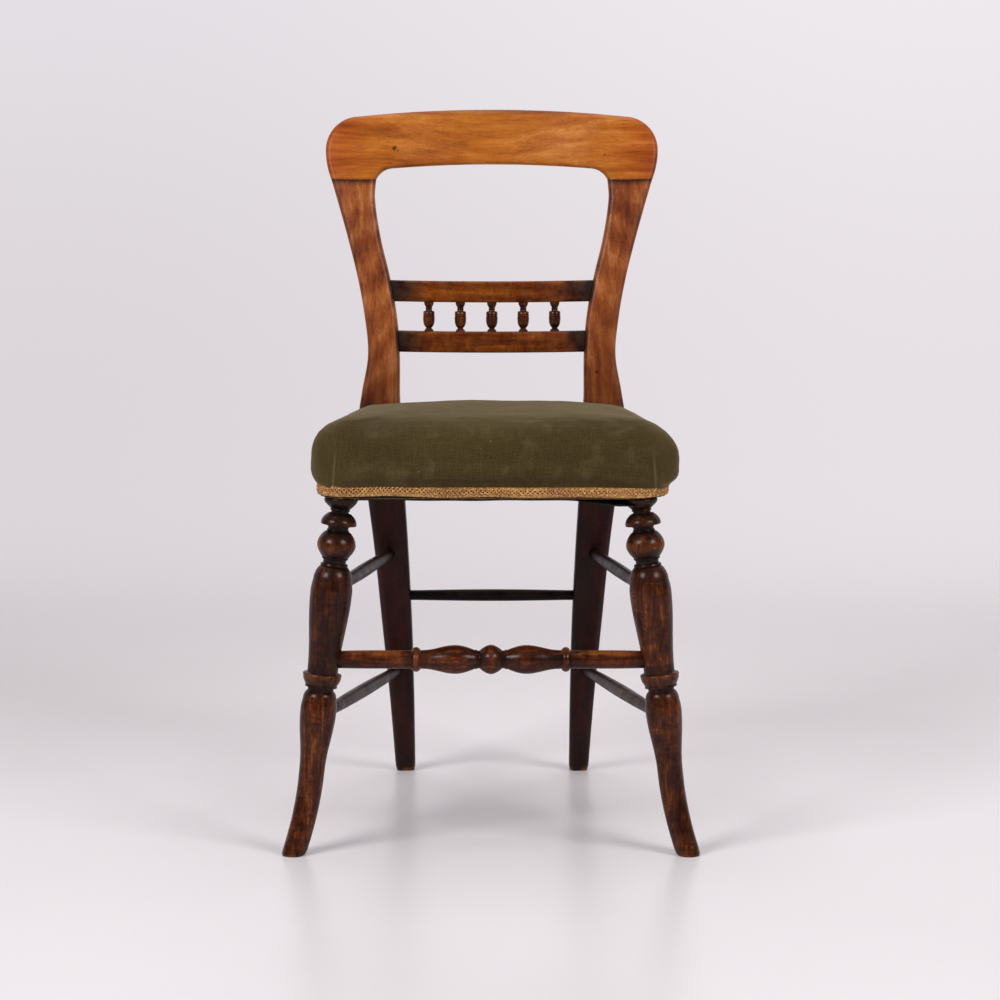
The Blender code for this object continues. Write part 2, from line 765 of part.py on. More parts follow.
def make_spindle(name, x, finish):
    """A small baluster with a pin at each end, built from the lower rail up."""
    low, high = spindle_seats(x)
    clear = high.z - low.z
    lift = 2 * FIT
    body = clear - 2 * lift
    cap, neck, shoulder = 0.0063, 0.0042, 0.0020
    foot = 0.0034
    barrel = body - cap - neck - shoulder - foot
    cuts = (
        (SPINDLE_PIN_LENGTH + lift, SPINDLE_PIN_DIAMETER, "cone"),
        (0, 0.0114, "cone"),
        (0.0010, 0.0114, "cone"),
        (foot - 0.0010, SPINDLE_NECK - 0.0008, "cove"),
        (barrel * 0.66, SPINDLE_DIAMETER, "swell"),
        (barrel * 0.34, SPINDLE_DIAMETER, "cone"),
        (shoulder, SPINDLE_NECK, "cone"),
        (neck, SPINDLE_NECK, "cone"),
        (cap, 0.0125, "swell"),
        (0, SPINDLE_PIN_DIAMETER, "cone"),
        (SPINDLE_PIN_LENGTH + lift, SPINDLE_PIN_DIAMETER, "cone"),
    )
    bm = lathe(turning(SPINDLE_PIN_DIAMETER, cuts), SPINDLE_SIDES)
    bmesh.ops.translate(bm, vec=(0, 0, -SPINDLE_PIN_LENGTH), verts=bm.verts)
    return add_object(name, stand_between(bm, low, high), finish)


def cut_spindle_holes(rail, upper):
    bm = bmesh.new()
    radius = (SPINDLE_PIN_DIAMETER / 2 + FIT) / math.cos(math.pi / SPINDLE_SIDES)
    hole = SPINDLE_PIN_LENGTH + FIT
    for x in spindle_places():
        low, high = spindle_seats(x)
        clear = high.z - low.z
        start, end = (clear - 0.003, clear + hole) if upper else (-hole, 0.003)
        drilled = lathe([(start, radius), (end, radius)], SPINDLE_SIDES)
        join_into(bm, stand_between(drilled, low, high))
    cut(rail, add_cutter(rail.name + "_spindle_holes", bm))


# Crest rail

def crest_edges(t):
    """Outer and inner points of the crest, seen from the front, from the joint (0) to the middle (1)."""
    shoulder = CHAIR_HEIGHT - CREST_SHOULDER_DROP
    radius = CREST_OUTER_RADIUS
    corner_x = CREST_HALF_WIDTH - radius
    low = JOINT_HEIGHT + FIT
    flank, corner = 0.18, 0.55
    if t <= flank:
        z = mix(low, shoulder, t / flank)
        outer = (crest_outer(z), z)
    elif t <= corner:
        angle = math.pi / 2 * (t - flank) / (corner - flank)
        outer = (corner_x + radius * math.cos(angle), shoulder + radius * math.sin(angle))
    else:
        share = (t - corner) / (1 - corner)
        rise = CHAIR_HEIGHT - shoulder - radius
        outer = (corner_x * (1 - share), shoulder + radius + rise * (1 - (1 - share) ** 2))
    inner_radius = CREST_INNER_RADIUS
    underside = CHAIR_HEIGHT - CREST_UNDERSIDE_DROP
    centre_z = underside - CREST_INNER_RISE - inner_radius
    if t <= corner:
        start = math.asin(max(0.0, low - centre_z) / inner_radius)
        angle = mix(start, math.pi / 2, t / corner)
        inner = (
            CREST_INNER_CENTRE + inner_radius * math.cos(angle),
            centre_z + inner_radius * math.sin(angle),
        )
    else:
        share = (t - corner) / (1 - corner)
        inner = (
            CREST_INNER_CENTRE * (1 - share),
            underside - CREST_INNER_RISE * (1 - share) ** 2,
        )
    return Vector(outer), Vector(inner)


def crest_bow(x):
    """How far the crest is hollowed back between the joints, to fit the sitter's shoulders."""
    half = crest_inner(JOINT_HEIGHT)
    return CREST_BOW * max(0.0, 1 - (x / half) ** 2) ** 1.5


def crest_section(t, side):
    outer, inner = crest_edges(t)
    width = (outer - inner).length
    section = []
    for along, back in rounded_rectangle(width, POST_TOP_THICKNESS, POST_ARRIS):
        place = inner.lerp(outer, 0.5 + along / width)
        y = post_face(place.y) + crest_bow(place.x) + POST_TOP_THICKNESS / 2 + back
        section.append(Vector((side * place.x, y, place.y)))
    return section


def make_crest_rail(finish):
    stations = [0, 0.09, 0.18, 0.25, 0.32, 0.39, 0.46, 0.55, 0.65, 0.76, 0.88]
    half = [crest_section(t, -1) for t in stations]
    middle = [crest_section(1, -1)]
    other = [[Vector((-p.x, p.y, p.z)) for p in section] for section in reversed(half)]
    crest = add_object("crest_rail", loft(half + middle + other), finish)
    return cut(crest, add_cutter("crest_rail_dowel_holes", dowel_holes(-1, 1)))


def dowel_places(side):
    """The middles of the two dowels in a crest joint."""
    z = JOINT_HEIGHT
    centre = post_middle(z)
    return [
        Vector((side * (centre.x + offset), centre.y, z))
        for offset in (-DOWEL_SPACING / 2, DOWEL_SPACING / 2)
    ]


def dowel_holes(*sides):
    bm = bmesh.new()
    reach = Vector((0, 0, DOWEL_LENGTH / 2 + FIT))
    for side in sides:
        for place in dowel_places(side):
            hole = rod_between(place - reach, place + reach, DOWEL_DIAMETER + 2 * FIT, PIN_SIDES)
            join_into(bm, hole)
    return bm


def make_dowels(finish):
    half = Vector((0, 0, DOWEL_LENGTH / 2))
    for side, side_name in ((-1, "left"), (1, "right")):
        for place, which in zip(dowel_places(side), ("inner", "outer")):
            radius = DOWEL_DIAMETER / 2
            bm = lathe([(0, radius), (DOWEL_LENGTH, radius)], PIN_SIDES)
            move_along(bm, place - half, place + half)
            add_object(f"crest_dowel_{side_name}_{which}", bm, finish)


# Seat rails

def side_rail_section(y_of, inset_out, width, low, high, side):
    """A section of a side seat rail at the depth that y_of gives for each height."""
    section = []
    for across, z in ((0, low), (1, low), (1, high), (0, high)):
        y = y_of(z)
        x = seat_half_width(y) - inset_out - width * across
        section.append(Vector((side * x, y, z)))
    return section


def rail_tenon_heights(grow=0.0):
    return RAIL_UNDERSIDE + SEAT_TENON_SHOULDER - grow, RAIL_TOP - SEAT_TENON_SHOULDER + grow


def side_rail_tenon(end, length, side, grow=0.0, back=0.0):
    """The two sections of a side rail's tenon, from its root out, at the front or the rear end."""
    low, high = rail_tenon_heights(grow)
    inset = SEAT_TENON_SHOULDER - grow
    width = SEAT_TENON_THICKNESS + 2 * grow
    if end == "front":
        root = FRONT_FACE + FRONT_RAIL_THICKNESS + FIT
        return [
            side_rail_section(lambda z: root + back, inset, width, low, high, side),
            side_rail_section(lambda z: root - length, inset, width, low, high, side),
        ]
    return [
        side_rail_section(lambda z: post_face(z) - FIT - back, inset, width, low, high, side),
        side_rail_section(lambda z: post_face(z) - FIT + length, inset, width, low, high, side),
    ]


def make_side_rail(name, side, finish):
    root = FRONT_FACE + FRONT_RAIL_THICKNESS + FIT
    full = (0, SIDE_RAIL_THICKNESS, RAIL_UNDERSIDE, RAIL_TOP, side)
    front = side_rail_tenon("front", SEAT_TENON_LENGTH, side)
    rear = side_rail_tenon("rear", SEAT_TENON_LENGTH, side)
    sections = [
        front[1],
        front[0],
        side_rail_section(lambda z: root, *full),
        side_rail_section(lambda z: post_face(z) - FIT, *full),
        rear[0],
        rear[1],
    ]
    return add_object(name, loft(sections), finish)


def rear_rail_section(x_out, side, shoulder, low, high):
    """A section of the rear seat rail where it meets a post, moved outwards by x_out."""
    section = []
    for back, z in ((0, low), (1, low), (1, high), (0, high)):
        x = post_inner(z) - FIT + x_out
        y = shoulder + back * (REAR_RAIL_THICKNESS - 2 * shoulder)
        section.append(Vector((side * x, y, z)))
    return section


def rear_tenon(side, length, grow=0.0, back=0.0):
    low, high = rail_tenon_heights(grow)
    shoulder = SEAT_TENON_SHOULDER - grow
    return [
        rear_rail_section(-back, side, shoulder, low, high),
        rear_rail_section(length, side, shoulder, low, high),
    ]


def make_rear_rail(finish):
    full = (0, RAIL_UNDERSIDE, RAIL_TOP)
    left, right = rear_tenon(-1, SEAT_TENON_LENGTH), rear_tenon(1, SEAT_TENON_LENGTH)
    sections = [
        left[1], left[0], rear_rail_section(0, -1, *full),
        rear_rail_section(0, 1, *full), right[0], right[1],
    ]
    return add_object("rear_seat_rail", loft(sections), finish)


def make_front_rail(finish):
    """The front rail: the seat's plan in front of its back face, so that its ends take the round corners."""
    half = right_half_to(seat_outline(), FRONT_FACE + FRONT_RAIL_THICKNESS)
    plan = half + mirrored(half)
    bm = loft([at_height(plan, RAIL_UNDERSIDE), at_height(plan, RAIL_TOP)])
    rail = add_object("front_seat_rail", bm, finish)
    holes = bmesh.new()
    for side in (-1, 1):
        join_into(holes, loft(side_rail_tenon("front", SEAT_TENON_LENGTH + FIT, side, FIT, 0.010)))
        low, high = leg_pin_ends(side)
        along = (high - low).normalized()
        join_into(holes, rod_between(low, high + along * FIT, LEG_PIN_DIAMETER + 4 * FIT, PIN_SIDES + 2))
    return cut(rail, add_cutter("front_rail_mortises", holes))


def make_glue_blocks(finish):
    """Triangular blocks glued into the corners of the frame, under the webbing."""
    low = RAIL_UNDERSIDE + (RAIL_HEIGHT - GLUE_BLOCK_HEIGHT) / 2
    high = low + GLUE_BLOCK_HEIGHT
    front = FRONT_FACE + FRONT_RAIL_THICKNESS + FIT
    for side, side_name in ((-1, "left"), (1, "right")):
        for end, y, step in (("front", front, 1), ("rear", -FIT, -1)):
            far = y + step * GLUE_BLOCK_LEG
            corner_x = seat_half_width(y) - SIDE_RAIL_THICKNESS - FIT
            far_x = seat_half_width(far) - SIDE_RAIL_THICKNESS - FIT
            plan = [
                Vector((side * corner_x, y)),
                Vector((side * far_x, far)),
                Vector((side * (corner_x - GLUE_BLOCK_LEG), y)),
            ]
            bm = loft([at_height(plan, low), at_height(plan, high)])
            add_object(f"glue_block_{end}_{side_name}", bm, finish)


# Back posts

def make_post(name, side, finish):
    post = add_object(name, loft([post_section(z, side) for z in post_levels()]), finish)
    bm = dowel_holes(side)
    for upper in (True, False):
        front, rear = side_stretcher_ends(side, upper)
        join_into(bm, socket(rear, front, SIDE_STRETCHER_END, ROD_SIDES))
    left, right = rear_stretcher_ends()
    inner, other = (right, left) if side > 0 else (left, right)
    join_into(bm, socket(inner, other, REAR_STRETCHER_END, ROD_SIDES))
    join_into(bm, cross_mortise(UPPER_RAIL_MIDDLE, side))
    join_into(bm, cross_mortise(LOWER_RAIL_MIDDLE, side))
    join_into(bm, loft(side_rail_tenon("rear", SEAT_TENON_LENGTH + FIT, side, FIT, 0.010)))
    join_into(bm, loft(rear_tenon(side, SEAT_TENON_LENGTH + FIT, FIT, 0.010)))
    return cut(post, add_cutter(name + "_joints", bm))


# Upholstery

def strap(stations, width, across):
    """A webbing strap through (distance, height) stations, run along Y, or across it along X."""
    sections = []
    for distance, z, middle in stations:
        corners = ((-width / 2, 0), (width / 2, 0), (width / 2, 1), (-width / 2, 1))
        section = []
        for aside, up in corners:
            x, y = (distance, middle + aside) if across else (middle + aside, distance)
            section.append(Vector((x, y, z + up * STRAP_THICKNESS)))
        sections.append(section)
    return loft(sections)


def woven_stations(start, end, middle, crossings, first_over):
    """A strap's run: flat on the rails, and lifted over every other strap that it crosses."""
    rest = RAIL_TOP + FIT
    lift = STRAP_THICKNESS + FIT
    plateau = STRAP_WIDTH / 2 + 0.002
    stations = [(start, rest, middle)]
    for i, crossing in enumerate(crossings):
        if (i % 2 == 0) != first_over:
            continue
        for offset, height in (
            (-plateau - STRAP_RAMP, rest), (-plateau, rest + lift),
            (plateau, rest + lift), (plateau + STRAP_RAMP, rest),
        ):
            stations.append((crossing + offset, height, middle))
    stations.append((end, rest, middle))
    return stations


def strap_places(pitch, middle=0.0):
    first = -(STRAP_COUNT - 1) / 2
    return [middle + (first + i) * pitch for i in range(STRAP_COUNT)]


def make_webbing(finish):
    lengthwise = strap_places(LONG_STRAP_PITCH)
    crosswise = strap_places(CROSS_STRAP_PITCH, SEAT_MIDDLE)
    front = FRONT_FACE + STRAP_INSET
    rear = REAR_RAIL_THICKNESS - STRAP_INSET
    for i, x in enumerate(lengthwise):
        stations = woven_stations(front, rear, x, crosswise, i % 2 == 0)
        add_object(f"webbing_lengthwise_{i + 1}", strap(stations, STRAP_WIDTH, False), finish)
    for i, y in enumerate(crosswise):
        half = seat_half_width(y + STRAP_WIDTH / 2) - STRAP_INSET
        stations = woven_stations(-half, half, y, lengthwise, i % 2 == 1)
        add_object(f"webbing_crosswise_{i + 1}", strap(stations, STRAP_WIDTH, True), finish)


def notched_plan(inset, rear_inset):
    """The seat's plan drawn in by an inset and stepped in round the posts, for a flat sheet."""
    notch_x = min(post_inner(RAIL_UNDERSIDE), post_inner(RAIL_TOP)) - inset
    rear = REAR_RAIL_THICKNESS - rear_inset
    half = right_half_to(seat_outline(-inset), -inset)
    half += [Vector((notch_x, -inset)), Vector((notch_x, rear))]
    return half + mirrored(half)


def make_hessian(finish):
    low = CANVAS_TOP - HESSIAN_THICKNESS
    plan = notched_plan(STRAP_INSET / 2, STRAP_INSET / 2)
    bm = loft([at_height(plan, low), at_height(plan, CANVAS_TOP)])
    add_object("hessian", bm, finish)


def make_bottom_cloth(finish):
    """The dark cloth tacked under the rails, cut away round the tops of the front legs."""
    high = RAIL_UNDERSIDE - FIT
    low = high - BOTTOM_CLOTH_THICKNESS
    plan = notched_plan(BOTTOM_CLOTH_INSET, BOTTOM_CLOTH_INSET)
    cloth = add_object("bottom_cloth", loft([at_height(plan, low), at_height(plan, high)]), finish)
    holes = bmesh.new()
    for side in (-1, 1):
        middle = leg_axis(RAIL_UNDERSIDE, side)
        reach = Vector((0, 0, 0.010))
        join_into(holes, rod_between(
            middle - reach, middle + reach, LEG_CUP_DIAMETER + 0.002, LEG_SIDES
        ))
    return cut(cloth, add_cutter("bottom_cloth_leg_holes", holes))


def roll_profile():
    """The stitched roll round the pad's edge as (overhang share, height) pairs, outside the rail."""
    low = RAIL_UNDERSIDE + 0.62 * RAIL_HEIGHT
    top = RAIL_TOP
    return (
        (0.28, low),
        (0.72, low + 0.0068),
        (0.97, low + 0.0126),
        (1.00, top + 0.0015),
        (0.89, top + 0.0100),
        (0.55, top + 0.0186),
        (-0.08, top + 0.0263),
        (-1.08, top + 0.0328),
        (-2.38, top + 0.0373),
    )


def drop_at(y, z):
    """The seat is lower at the back: how far a point of it drops."""
    above = max(0.0, z - RAIL_TOP)
    return SEAT_REAR_DROP * smoothstep(SEAT_MIDDLE, REAR_RAIL_THICKNESS, y) * min(1.0, above / 0.03)


def settle(ring):
    return [Vector((p.x, p.y, p.z - drop_at(p.y, p.z))) for p in ring]


def pad_rings(out):
    """Rings of the pad's outer surface, moved outwards by a distance, from its roll to its crown."""
    rings = [
        settle(at_height(seat_outline(out + 2 * FIT, share * ROLL_OVERHANG), z + out * up))
        for (share, z), up in zip(roll_profile(), (-1, -0.4, 0, 0, 0.3, 0.7, 0.9, 1, 1))
    ]
    share, z = roll_profile()[-1]
    edge = seat_outline(2 * FIT, share * ROLL_OVERHANG)
    centre = Vector((0, SEAT_MIDDLE))
    for scale in (0.82, 0.58, 0.30, 0.08):
        rise = (CROWN_RISE + RAIL_TOP - z) * (1 - scale**2)
        outline = [centre.lerp(point, scale) for point in edge]
        rings.append(settle(at_height(outline, z + rise + out)))
    return rings


def post_notch(clearance, low):
    """A cutter that follows the front and inner faces of both posts, and all beyond them."""
    high = SHOULDER_HEIGHT + 0.06
    levels = [z for z in post_levels() if low < z < high]
    levels = [low] + levels + [high]
    both = bmesh.new()
    for side in (-1, 1):
        sections = []
        for z in levels:
            x, y = post_inner(z) - clearance, post_face(z) - clearance
            corners = ((x, y), (0.30, y), (0.30, 0.15), (x, 0.15))
            sections.append([Vector((side * cx, cy, z)) for cx, cy in corners])
        join_into(both, loft(sections))
    return both


def make_stuffing(finish):
    inside = at_height(seat_outline(-0.012), PAD_BOTTOM)
    lip = at_height(seat_outline(2 * FIT), PAD_BOTTOM)
    start = at_height(seat_outline(2 * FIT), roll_profile()[0][1])
    pad = add_object("seat_stuffing", loft([inside, lip, start] + pad_rings(0)), finish, 1.0)
    clearance = FIT + COVER_THICKNESS + PAD_CLEARANCE
    return cut(pad, add_cutter("stuffing_notch", post_notch(clearance, RAIL_UNDERSIDE - 0.01)))


def make_cover(finish):
    """The velvet, with its wadding: a skin over the pad, turned down over the rails to their lower edge."""
    roll_start = roll_profile()[0][1]
    skirt = seat_outline(FIT + COVER_THICKNESS)
    outside = [at_height(skirt, HEM_HEIGHT), at_height(skirt, roll_start - 2 * COVER_THICKNESS)]
    rings = pad_rings(PAD_CLEARANCE + COVER_THICKNESS)
    cover = add_object("velvet_cover", loft(outside + rings), finish, 1.0)
    lining = seat_outline(FIT)
    inside = [at_height(lining, HEM_HEIGHT - 0.010), at_height(lining, roll_start - COVER_THICKNESS)]
    cavity = add_cutter("cover_cavity", loft(inside + pad_rings(PAD_CLEARANCE)))
    wall = add_cutter("cover_wall_at_posts", post_notch(FIT + COVER_THICKNESS, PAD_BOTTOM - FIT))
    cut(cavity, wall)
    cut(cover, cavity)
    return cut(cover, add_cutter("cover_notch", post_notch(FIT, RAIL_UNDERSIDE - 0.03)))


def braid_section(inner, outer, low, high):
    return [
        Vector((inner.x, inner.y, low)), Vector((outer.x, outer.y, low)),
        Vector((outer.x, outer.y, high)), Vector((inner.x, inner.y, high)),
    ]


def make_gimp(finish):
    """The braid over the cover's tacked edge: one length round the front, and one across the back."""
    start = 2 * FIT + COVER_THICKNESS
    inner = right_half_to(seat_outline(start), -2 * FIT)
    outer = right_half_to(seat_outline(start + GIMP_THICKNESS), -2 * FIT)
    right = list(zip(inner, outer))
    left = list(zip(mirrored(inner), mirrored(outer)))
    low, high = HEM_HEIGHT, HEM_HEIGHT + GIMP_WIDTH
    sections = [braid_section(*pair, low, high) for pair in left + right]
    add_object("gimp_braid_front", loft(sections), finish)
    half = min(post_inner(low), post_inner(high)) - 2 * FIT
    y = REAR_RAIL_THICKNESS + start
    ends = [
        braid_section(Vector((x, y)), Vector((x, y + GIMP_THICKNESS)), low, high)
        for x in (-half, half)
    ]
    add_object("gimp_braid_rear", loft(ends), finish)


def main():
    empty_scene()
    placement = bpy.data.objects.new("chair_placement", None)
    placement.location = (0, DEPTH_SHIFT, 0)
    bpy.context.scene.collection.objects.link(placement)

    honey = wood("polished_honey_wood", (0.42, 0.17, 0.05))
    brown = wood("stained_brown_wood", (0.25, 0.09, 0.04))
    rail_brown = wood("stained_rail_wood", (0.20, 0.07, 0.025))
    dark = wood("stained_turned_wood", (0.09, 0.030, 0.014))
    black = wood("blackened_rod_wood", (0.035, 0.022, 0.016), 0.45)
    bare = wood("unfinished_beech", (0.48, 0.32, 0.18), 0.75)
    jute = material("jute_webbing", (0.42, 0.31, 0.18), 0.9)
    hessian = material("hessian_cloth", (0.36, 0.27, 0.15), 0.95)
    hair = material("curled_hair", (0.12, 0.08, 0.05), 0.95)
    velvet = material("olive_velvet", (0.085, 0.075, 0.030), 0.85)
    gold = material("tan_braid", (0.42, 0.24, 0.09), 0.8)
    lining = material("black_lining", (0.02, 0.02, 0.022), 0.9)

    make_crest_rail(honey)
    make_dowels(bare)
    for side, side_name in ((-1, "left"), (1, "right")):
        make_post(f"back_post_{side_name}", side, brown)
        leg = make_front_leg(f"front_leg_{side_name}", side, dark)
        cut_leg_sockets(leg, side)
        make_side_rail(f"side_seat_rail_{side_name}", side, bare)
        for upper, level in ((True, "upper"), (False, "lower")):
            make_plain_stretcher(
                f"side_stretcher_{level}_{side_name}", side_stretcher_ends(side, upper),
                SIDE_STRETCHER_MIDDLE, SIDE_STRETCHER_END, black,
            )
    cut_spindle_holes(make_cross_rail("upper_cross_rail", UPPER_RAIL_MIDDLE, rail_brown), True)
    cut_spindle_holes(make_cross_rail("lower_cross_rail", LOWER_RAIL_MIDDLE, rail_brown), False)
    for i, x in enumerate(spindle_places()):
        make_spindle(f"spindle_{i + 1}", x, dark)
    make_front_stretcher(dark)
    make_plain_stretcher(
        "rear_stretcher", rear_stretcher_ends(), REAR_STRETCHER_MIDDLE, REAR_STRETCHER_END, black
    )
    make_front_rail(bare)
    make_rear_rail(bare)
    make_glue_blocks(bare)
    make_webbing(jute)
    make_hessian(hessian)
    make_stuffing(hair)
    make_cover(velvet)
    make_gimp(gold)
    make_bottom_cloth(lining)


main()
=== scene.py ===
# %% [markdown]
# A Victorian side chair. The solids of the chair are already made, so this lesson dresses them: it
# remakes each piece that shows with finer turning and softer edges, upholsters the seat, and gives
# every piece a finish of its own. First the solids are loaded as a fixed frame.

# %% Load the frame
import math
import bpy
import bmesh
from mathutils import Matrix, Vector, noise


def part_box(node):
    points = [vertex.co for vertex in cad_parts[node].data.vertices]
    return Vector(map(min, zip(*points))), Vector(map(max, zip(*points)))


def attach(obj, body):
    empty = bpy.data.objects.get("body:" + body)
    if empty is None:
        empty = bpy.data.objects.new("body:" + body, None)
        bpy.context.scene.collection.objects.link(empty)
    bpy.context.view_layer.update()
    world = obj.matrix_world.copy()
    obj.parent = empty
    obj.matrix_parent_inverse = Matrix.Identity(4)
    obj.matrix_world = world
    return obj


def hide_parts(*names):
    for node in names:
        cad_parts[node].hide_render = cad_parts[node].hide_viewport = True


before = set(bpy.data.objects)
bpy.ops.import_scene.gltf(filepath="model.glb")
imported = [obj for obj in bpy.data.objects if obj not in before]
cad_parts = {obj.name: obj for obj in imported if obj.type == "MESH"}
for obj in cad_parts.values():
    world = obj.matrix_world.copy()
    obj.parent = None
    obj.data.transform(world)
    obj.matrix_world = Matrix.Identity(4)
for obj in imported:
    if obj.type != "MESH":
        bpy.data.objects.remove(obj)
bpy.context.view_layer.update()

# %% [markdown]
# The pieces have to stand exactly where the solids stand, so the few heights that tie them together
# are read from the solids, and not typed in a second time.

# %% Heights and depths read from the solids
CHAIR_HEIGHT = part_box("crest_rail")[1].z
JOINT_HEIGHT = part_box("back_post_right")[1].z
RAIL_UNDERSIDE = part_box("front_seat_rail")[0].z
RAIL_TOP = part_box("front_seat_rail")[1].z
SET_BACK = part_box("back_post_right")[0].y
FRONT_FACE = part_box("front_seat_rail")[0].y - SET_BACK
SHOULDER_HEIGHT = RAIL_TOP + 0.021
UPPER_RAIL_MIDDLE = 0.632
LOWER_RAIL_MIDDLE = 0.5688
FRONT_STRETCHER_HEIGHT = 0.2255
FIT = 0.0003
print("seat rail", round(RAIL_UNDERSIDE, 4), "to", round(RAIL_TOP, 4))
print("crest joint at", round(JOINT_HEIGHT, 4))

# %% [markdown]
# The camera stands where the photographer stood: three metres off, a little above the seat, with a
# long lens, looking slightly down. A long lens keeps the front and rear legs close in size.

# %% Camera
CAMERA_PLACE = (0.0104, -3.34804, 0.778938)
CAMERA_DIP = 6.72


def placed(name, data):
    """A new object in the scene that shows some data: a mesh, a lamp, a curve or a camera."""
    made = bpy.data.objects.new(name, data)
    bpy.context.scene.collection.objects.link(made)
    return made


camera_data = bpy.data.cameras.new("camera")
camera_data.lens = 99.72
camera_data.sensor_width = 36
camera = placed("camera", camera_data)
camera.location = CAMERA_PLACE
camera.rotation_euler = (math.radians(90 - CAMERA_DIP), 0, 0)
bpy.context.scene.camera = camera
bpy.context.scene.view_settings.view_transform = "Standard"
print("camera", [round(v, 3) for v in camera.location])


# %% [markdown]
# Colours are written as web colours, and turned into the linear values that shaders work with. The
# small helpers below add a node, feed a socket, and blend two colours, which keeps each recipe short.

# %% Node helpers
def paint(web):
    """A web colour such as "#8a4a1c" as linear red, green, blue and alpha."""
    parts = [int(web[i:i + 2], 16) / 255 for i in (1, 3, 5)]
    return (*(p / 12.92 if p <= 0.04045 else ((p + 0.055) / 1.055) ** 2.4 for p in parts), 1.0)


def node(tree, kind, **settings):
    made = tree.nodes.new("ShaderNode" + kind)
    for key, value in settings.items():
        setattr(made, key, value)
    return made


def feed(tree, socket, value):
    if isinstance(value, bpy.types.NodeSocket):
        tree.links.new(value, socket)
    elif isinstance(value, str):
        socket.default_value = paint(value)
    else:
        socket.default_value = value


def adjust(made, **values):
    """Sets sockets by name, with an underscore for each space; a web colour becomes a linear one."""
    for name, value in values.items():
        socket = made.inputs[name.replace("_", " ")]
        socket.default_value = paint(value) if isinstance(value, str) else value


def blended(tree, share, first, second, how="MIX"):
    mix = node(tree, "Mix", data_type="RGBA", blend_type=how)
    for place, value in ((0, share), (6, first), (7, second)):
        feed(tree, mix.inputs[place], value)
    return mix.outputs[2]


def maths(tree, how, first, second=0.0):
    made = node(tree, "Math", operation=how)
    feed(tree, made.inputs[0], first)
    feed(tree, made.inputs[1], second)
    return made.outputs[0]


def times(tree, first, second):
    return maths(tree, "MULTIPLY", first, second)


def plus(tree, first, second):
    return maths(tree, "ADD", first, second)


def most(tree, first, *others):
    for other in others:
        first = maths(tree, "MAXIMUM", first, other)
    return first


def ranged(tree, value, low, high, to_low=0.0, to_high=1.0):
    made = node(tree, "MapRange", interpolation_type="SMOOTHSTEP")
    for place, number in enumerate((value, low, high, to_low, to_high)):
        feed(tree, made.inputs[place], number)
    return made.outputs[0]


def stretched(tree, place, scale, turn=(0, 0, 0)):
    made = node(tree, "Mapping")
    feed(tree, made.inputs["Vector"], place)
    adjust(made, Scale=scale, Rotation=turn)
    return made.outputs[0]


def cloudy(tree, place, scale, detail=3.0, rough=0.5, bend=0.0):
    made = node(tree, "TexNoise")
    feed(tree, made.inputs["Vector"], place)
    adjust(made, Scale=scale, Detail=detail, Roughness=rough, Distortion=bend)
    return made.outputs[0]


def graded(tree, value, stops):
    made = node(tree, "ValToRGB")
    feed(tree, made.inputs[0], value)
    while len(made.color_ramp.elements) < len(stops):
        made.color_ramp.elements.new(0.5)
    for element, (place, web) in zip(made.color_ramp.elements, stops):
        element.position = place
        element.color = paint(web)
    return made.outputs[0]


def measured(tree, place, axis):
    """One coordinate of a place: "X", "Y" or "Z"."""
    parts = node(tree, "SeparateXYZ")
    feed(tree, parts.inputs[0], place)
    return parts.outputs[axis]


def attribute(tree, name):
    return node(tree, "Attribute", attribute_name=name).outputs["Fac"]


def new_finish(name):
    finish = bpy.data.materials.new(name)
    finish.use_nodes = True
    tree = finish.node_tree
    shader = tree.nodes["Principled BSDF"]
    place = node(tree, "TexCoord").outputs["Object"]
    return finish, tree, shader, place


def bumped(tree, shader, height, strength, depth):
    bump = node(tree, "Bump")
    adjust(bump, Strength=strength, Distance=depth)
    feed(tree, bump.inputs["Height"], height)
    feed(tree, shader.inputs["Normal"], bump.outputs[0])
    return bump


# %% [markdown]
# Old polished wood is never one colour. It has long streaks along the grain, broad clouds where the
# stain took unevenly, fine dark pores, hollows darkened with painted shade and some dirt, and paler
# wood where hands and shoes have rubbed it, which on the plain rods is a painted highlight along their
# tops. Each of these is one layer in the recipe. The hollows and the rubbed places are painted on the
# meshes as they are made, as values named recess and worn.

# %% The wood recipe
GRAIN_STRETCH = 0.07
MARK_DEPTH = 0.15


def near_mark(tree, place, centre, size):
    """1 at a knot or bruise and 0 outside it, its edge made ragged by noise."""
    away = node(tree, "VectorMath", operation="DISTANCE")
    feed(tree, away.inputs[0], stretched(tree, place, (1.0, MARK_DEPTH, 1.0)))
    away.inputs[1].default_value = (centre[0], centre[1] * MARK_DEPTH, centre[2])
    ragged = times(tree, cloudy(tree, place, 220, 3), size * 0.9)
    return ranged(tree, plus(tree, away.outputs["Value"], ragged), size * 0.7, size * 1.35, 1, 0)


